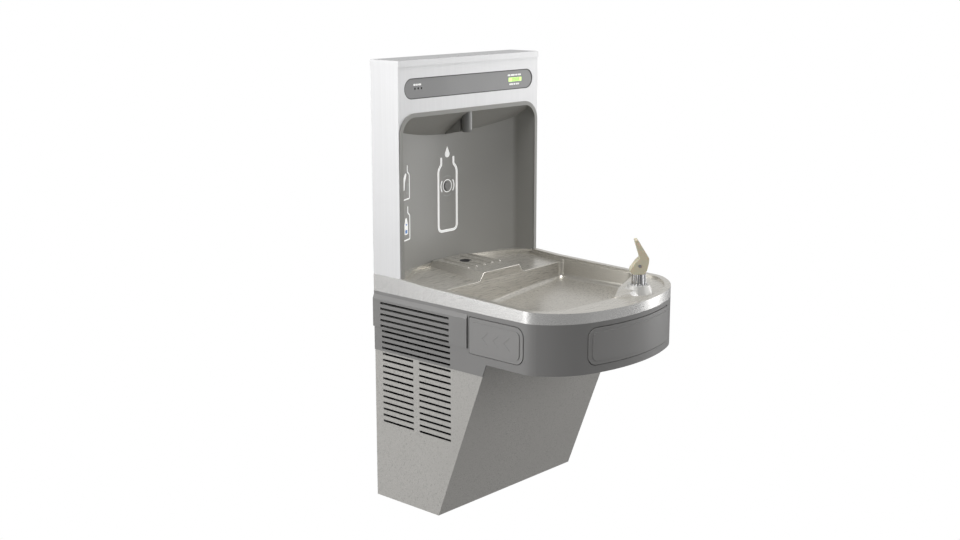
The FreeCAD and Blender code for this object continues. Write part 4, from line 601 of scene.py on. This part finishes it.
def rolled_edge(name, corners, radius, swells=None):
    """A bright rounded edge along corners in millimetres, sunk most of the way into the sheet."""
    curve = bpy.data.curves.new(name, "CURVE")
    curve.dimensions = "3D"
    curve.bevel_depth = radius * MM
    curve.bevel_resolution = 3
    curve.use_fill_caps = True
    line = curve.splines.new("POLY")
    line.points.add(len(corners) - 1)
    for i, (point, (x, y, z)) in enumerate(zip(line.points, corners)):
        point.co = (x * MM, y * MM, z * MM, 1)
        point.radius = swells[i] if swells else 1
    line.use_smooth = True
    obj = bpy.data.objects.new(name, curve)
    bpy.context.collection.objects.link(obj)
    curve.materials.append(LOOKS["basin_steel"].material)
    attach(obj, "body")
    return obj


def block_face():
    """The block's front is one sheet with the bowl's wall below it."""
    front, back = LEDGE_FRONT * MM, (BLOCK_FACE + FACE_INTO_BLOCK) * MM
    foot_z = LEDGE_EDGE_Z - FACE_INTO_LEDGE
    outline = [(-BLOCK_FOOT, foot_z), (BLOCK_FOOT, foot_z),
               (BLOCK_TOP, BLOCK_TOP_Z), (-BLOCK_TOP, BLOCK_TOP_Z)]
    verts = [(x * MM, y, z * MM) for y in (front, back) for x, z in outline]
    faces = [(0, 1, 2, 3), (7, 6, 5, 4)] + [(i, (i + 1) % 4, (i + 1) % 4 + 4, i + 4) for i in range(4)]
    return piece("block_face", verts, faces, LOOKS["basin_steel"], "body")


block_face()
edge_y, sunk, edge_radius = LEDGE_FRONT + 1.2, 1.0, 1.7
rolled_edge("ledge_edge", [
    (-LEDGE_END, edge_y, LEDGE_EDGE_Z - sunk), (-BLOCK_FOOT, edge_y, LEDGE_EDGE_Z - sunk),
    (-BLOCK_TOP, edge_y, BLOCK_TOP_Z - sunk), (BLOCK_TOP, edge_y, BLOCK_TOP_Z - sunk),
    (BLOCK_FOOT, edge_y, LEDGE_EDGE_Z - sunk), (LEDGE_END, edge_y, LEDGE_EDGE_Z - sunk)], edge_radius)

# The ribs, in millimetres from the wall and from each other. The middle one starts in front of the strainer.
RIB_PITCH, RIB_BACK, RIB_FRONT, RIB_RADIUS = 27, 25, 124, 3.6
STRAINER_FRONT = 83
RIB_SUNK = 0.7
BLOCK_RISE = 3.5 / 175
RIB_END_STEPS = 6


def rib(i):
    """A pressed rib along the block's top, with a rounded front end."""
    def at(depth):
        return (i * RIB_PITCH, -depth, BLOCK_TOP_Z - RIB_SUNK + (-BLOCK_FACE - depth) * BLOCK_RISE)

    turns = [math.radians(90 * k / RIB_END_STEPS) for k in range(RIB_END_STEPS + 1)]
    start = STRAINER_FRONT if i == 0 else RIB_BACK
    corners = [at(start)] + [at(RIB_FRONT + RIB_RADIUS * math.sin(t)) for t in turns]
    swells = [1] + [max(math.cos(t), 0.02) for t in turns]
    rolled_edge(f"rib_{i + 3}", corners, RIB_RADIUS, swells)


for i in (-2, -1, 0, 1, 2):
    rib(i)


# ---- embossed chevrons on the side bars' pads ----

CHEVRON_PITCH, CHEVRON_REACH, CHEVRON_HALF = 30 * MM, 8 * MM, 14 * MM
# Across an arrow's stroke: how far along Y, and how high above the pad, in millimetres.
CHEVRON_PROFILE = ((-3.2, -0.2), (-2.2, 0.5), (2.2, 0.5), (3.2, -0.2))


def chevrons(name, node, body, sense):
    """Three raised arrows on the pad's outer face that point back towards the wall."""
    low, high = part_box(node)
    tree = tree_of(node)
    verts, faces = [], []
    middle_y, middle_z = (low.y + high.y) / 2, (low.z + high.z) / 2
    start_x = (low.x if sense < 0 else high.x) + sense * 0.02
    for k in (-1, 0, 1):
        y0 = middle_y + k * CHEVRON_PITCH
        tail, tip = y0 - CHEVRON_REACH, y0 + CHEVRON_REACH
        line = [(tail, middle_z + CHEVRON_HALF), (tip, middle_z), (tail, middle_z - CHEVRON_HALF)]
        ring = []
        for shift, lift in CHEVRON_PROFILE:
            for y, z in line:
                spot = Vector((start_x, y + shift * MM, z))
                hit = tree.ray_cast(spot, Vector((-sense, 0, 0)))[0]
                ring.append(Vector((hit.x + sense * lift * MM, spot.y, z)))
        first = len(verts)
        verts += ring
        for row in range(3):
            for col in range(2):
                a = first + row * 3 + col
                faces.append((a, a + 1, a + 4, a + 3))
        faces += [(first, first + 3, first + 6, first + 9), (first + 2, first + 5, first + 8, first + 11)]
    return piece(name, verts, faces, LOOKS["bar_plastic"], body)


chevrons("chevrons_left", "push_bar_left", "bar_left", -1)
chevrons("chevrons_right", "push_bar_right", "bar_right", 1)


# ---- dark sheets behind the louvres: painted shade inside the cabinet ----

MAT_INSET, PLEAT_DEPTH, MAT_PLEATS = 2.3 * MM, 0.35 * MM, 44
MAT_BACK_Y, MAT_FRONT_Y = -31 * MM, -238 * MM
MAT_BELOW_PANEL_TOP, MAT_ABOVE_PANEL_TOP = 255 * MM, 86 * MM


def painted_shade_sheet(name, side):
    """A pleated dark sheet that hangs just inside the cabinet's side: painted shade behind the louvres."""
    panel_low, panel_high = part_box("lower_panel")
    inner = (panel_high.x if side > 0 else panel_low.x) - side * MAT_INSET
    back, front = MAT_BACK_Y, MAT_FRONT_Y
    bottom, top = panel_high.z - MAT_BELOW_PANEL_TOP, panel_high.z + MAT_ABOVE_PANEL_TOP
    verts, faces = [], []
    rows = MAT_PLEATS
    for i in range(rows + 1):
        z = bottom + (top - bottom) * i / rows
        x = inner - side * (PLEAT_DEPTH if i % 2 else 0)
        verts += [(x, back, z), (x, front, z)]
    for i in range(rows):
        a = 2 * i
        faces.append((a, a + 1, a + 3, a + 2))
    mat = piece(name, verts, faces, LOUVRE_SHADE, "body")
    thick = mat.modifiers.new("mat", "SOLIDIFY")
    thick.thickness = 0.3 * MM
    return mat


painted_shade_sheet("painted_shade_sheet_left", -1)
painted_shade_sheet("painted_shade_sheet_right", 1)


# ---- floor, light and camera ----

# The floor lights the object from below, and shows as white to the camera.
floor_mat = Mat("pale_floor", (0.32, 0.32, 0.32), 0.9)
floor_mat.tint(floor_mat.noise(0.4, detail=2), (0.3, 0.3, 0.3), 0.3, 0.8)
out = floor_mat.tree.nodes["Material Output"]
seen = floor_mat.node("ShaderNodeLightPath").outputs["Is Camera Ray"]
glow = floor_mat.node("ShaderNodeEmission")
glow.inputs["Strength"].default_value = 1.0
blend = floor_mat.node("ShaderNodeMixShader")
floor_mat.link(seen, blend.inputs[0])
floor_mat.link(floor_mat.shader.outputs[0], blend.inputs[1])
floor_mat.link(glow.outputs[0], blend.inputs[2])
floor_mat.link(blend.outputs[0], out.inputs["Surface"])
floor_mesh = bpy.data.meshes.new("floor")
REACH, LEVEL = 90, -0.45
floor_mesh.from_pydata([(x * REACH, y * REACH, LEVEL) for x, y in ((-1, -1), (1, -1), (1, 1), (-1, 1))],
                       [], [(0, 1, 2, 3)])
floor = bpy.data.objects.new("floor", floor_mesh)
bpy.context.collection.objects.link(floor)
floor_mesh.materials.append(floor_mat.material)

scene = bpy.context.scene
scene.view_settings.view_transform = "Standard"
scene.view_settings.look = "None"
world = bpy.data.worlds.new("studio")
scene.world = world
world.use_nodes = True
sky = world.node_tree
sky.nodes["Background"].inputs["Color"].default_value = (1, 1, 1, 1)

# The studio is dimmer on the side that faces the basin's near corner, so that polished edges have
# something dark to mirror. It dims as the direction turns towards DIM_SIDE.
DIM_SIDE = Vector((-0.70, -0.70, 0.14))
SKY, DIM_SKY = 0.68, 0.16
DIM_FROM, DIM_FULL = 0.45, 0.92
facing = sky.nodes.new("ShaderNodeVectorMath")
facing.operation = "DOT_PRODUCT"
facing.inputs[1].default_value = DIM_SIDE
sky.links.new(sky.nodes.new("ShaderNodeTexCoord").outputs["Generated"], facing.inputs[0])
dimmer = sky.nodes.new("ShaderNodeMapRange")
dimmer.interpolation_type = "SMOOTHSTEP"
for key, number in (("From Min", DIM_FROM), ("From Max", DIM_FULL), ("To Min", SKY), ("To Max", DIM_SKY)):
    dimmer.inputs[key].default_value = number
sky.links.new(facing.outputs["Value"], dimmer.inputs["Value"])
sky.links.new(dimmer.outputs["Result"], sky.nodes["Background"].inputs["Strength"])

# The camera itself sees plain white behind the object.
plain = sky.nodes.new("ShaderNodeBackground")
plain.inputs["Color"].default_value = (1, 1, 1, 1)
pick = sky.nodes.new("ShaderNodeMixShader")
sky.links.new(sky.nodes.new("ShaderNodeLightPath").outputs["Is Camera Ray"], pick.inputs[0])
sky.links.new(sky.nodes["Background"].outputs[0], pick.inputs[1])
sky.links.new(plain.outputs[0], pick.inputs[2])
sky.links.new(pick.outputs[0], sky.nodes["World Output"].inputs["Surface"])

centre = (CAD_BOX[0] + CAD_BOX[1]) / 2


def soft_light(name, place, size, power):
    """A round soft light that points at the middle of the object."""
    light = bpy.data.lights.new(name, "AREA")
    light.shape = "DISK"
    light.size = size
    light.energy = power
    obj = bpy.data.objects.new(name, light)
    bpy.context.collection.objects.link(obj)
    obj.location = place
    obj.rotation_mode = "QUATERNION"
    obj.rotation_quaternion = (centre - Vector(place)).to_track_quat("-Z", "Y")
    return obj


# Each light's name, place and diameter in metres, and power in watts.
for name, place, size, power in (("key", (-2.83, 0.92, 1.05), 2.4, 55), ("right", (2.9, -1.6, 0.7), 2.0, 26),
                                 ("front", (1.1, -3.0, 1.25), 1.6, 11), ("top", (-0.1, -0.6, 2.9), 0.8, 22)):
    soft_light(name, place, size, power)

CAMERA_PLACE = (-2.3320, -2.2168, 1.2064)
CAMERA_TURN, CAMERA_TILT = math.radians(-47.92), math.radians(12.47)
FOCAL_LENGTH, SENSOR_WIDTH = 52.08, 36
back = Vector((math.sin(CAMERA_TURN) * math.cos(CAMERA_TILT),
               -math.cos(CAMERA_TURN) * math.cos(CAMERA_TILT), math.sin(CAMERA_TILT)))
lens = bpy.data.cameras.new("camera")
lens.lens = FOCAL_LENGTH
lens.sensor_width = SENSOR_WIDTH
lens.clip_start, lens.clip_end = 0.05, 300
camera = bpy.data.objects.new("camera", lens)
bpy.context.collection.objects.link(camera)
camera.location = CAMERA_PLACE
camera.rotation_mode = "QUATERNION"
camera.rotation_quaternion = (-back).to_track_quat("-Z", "Y")
scene.camera = camera
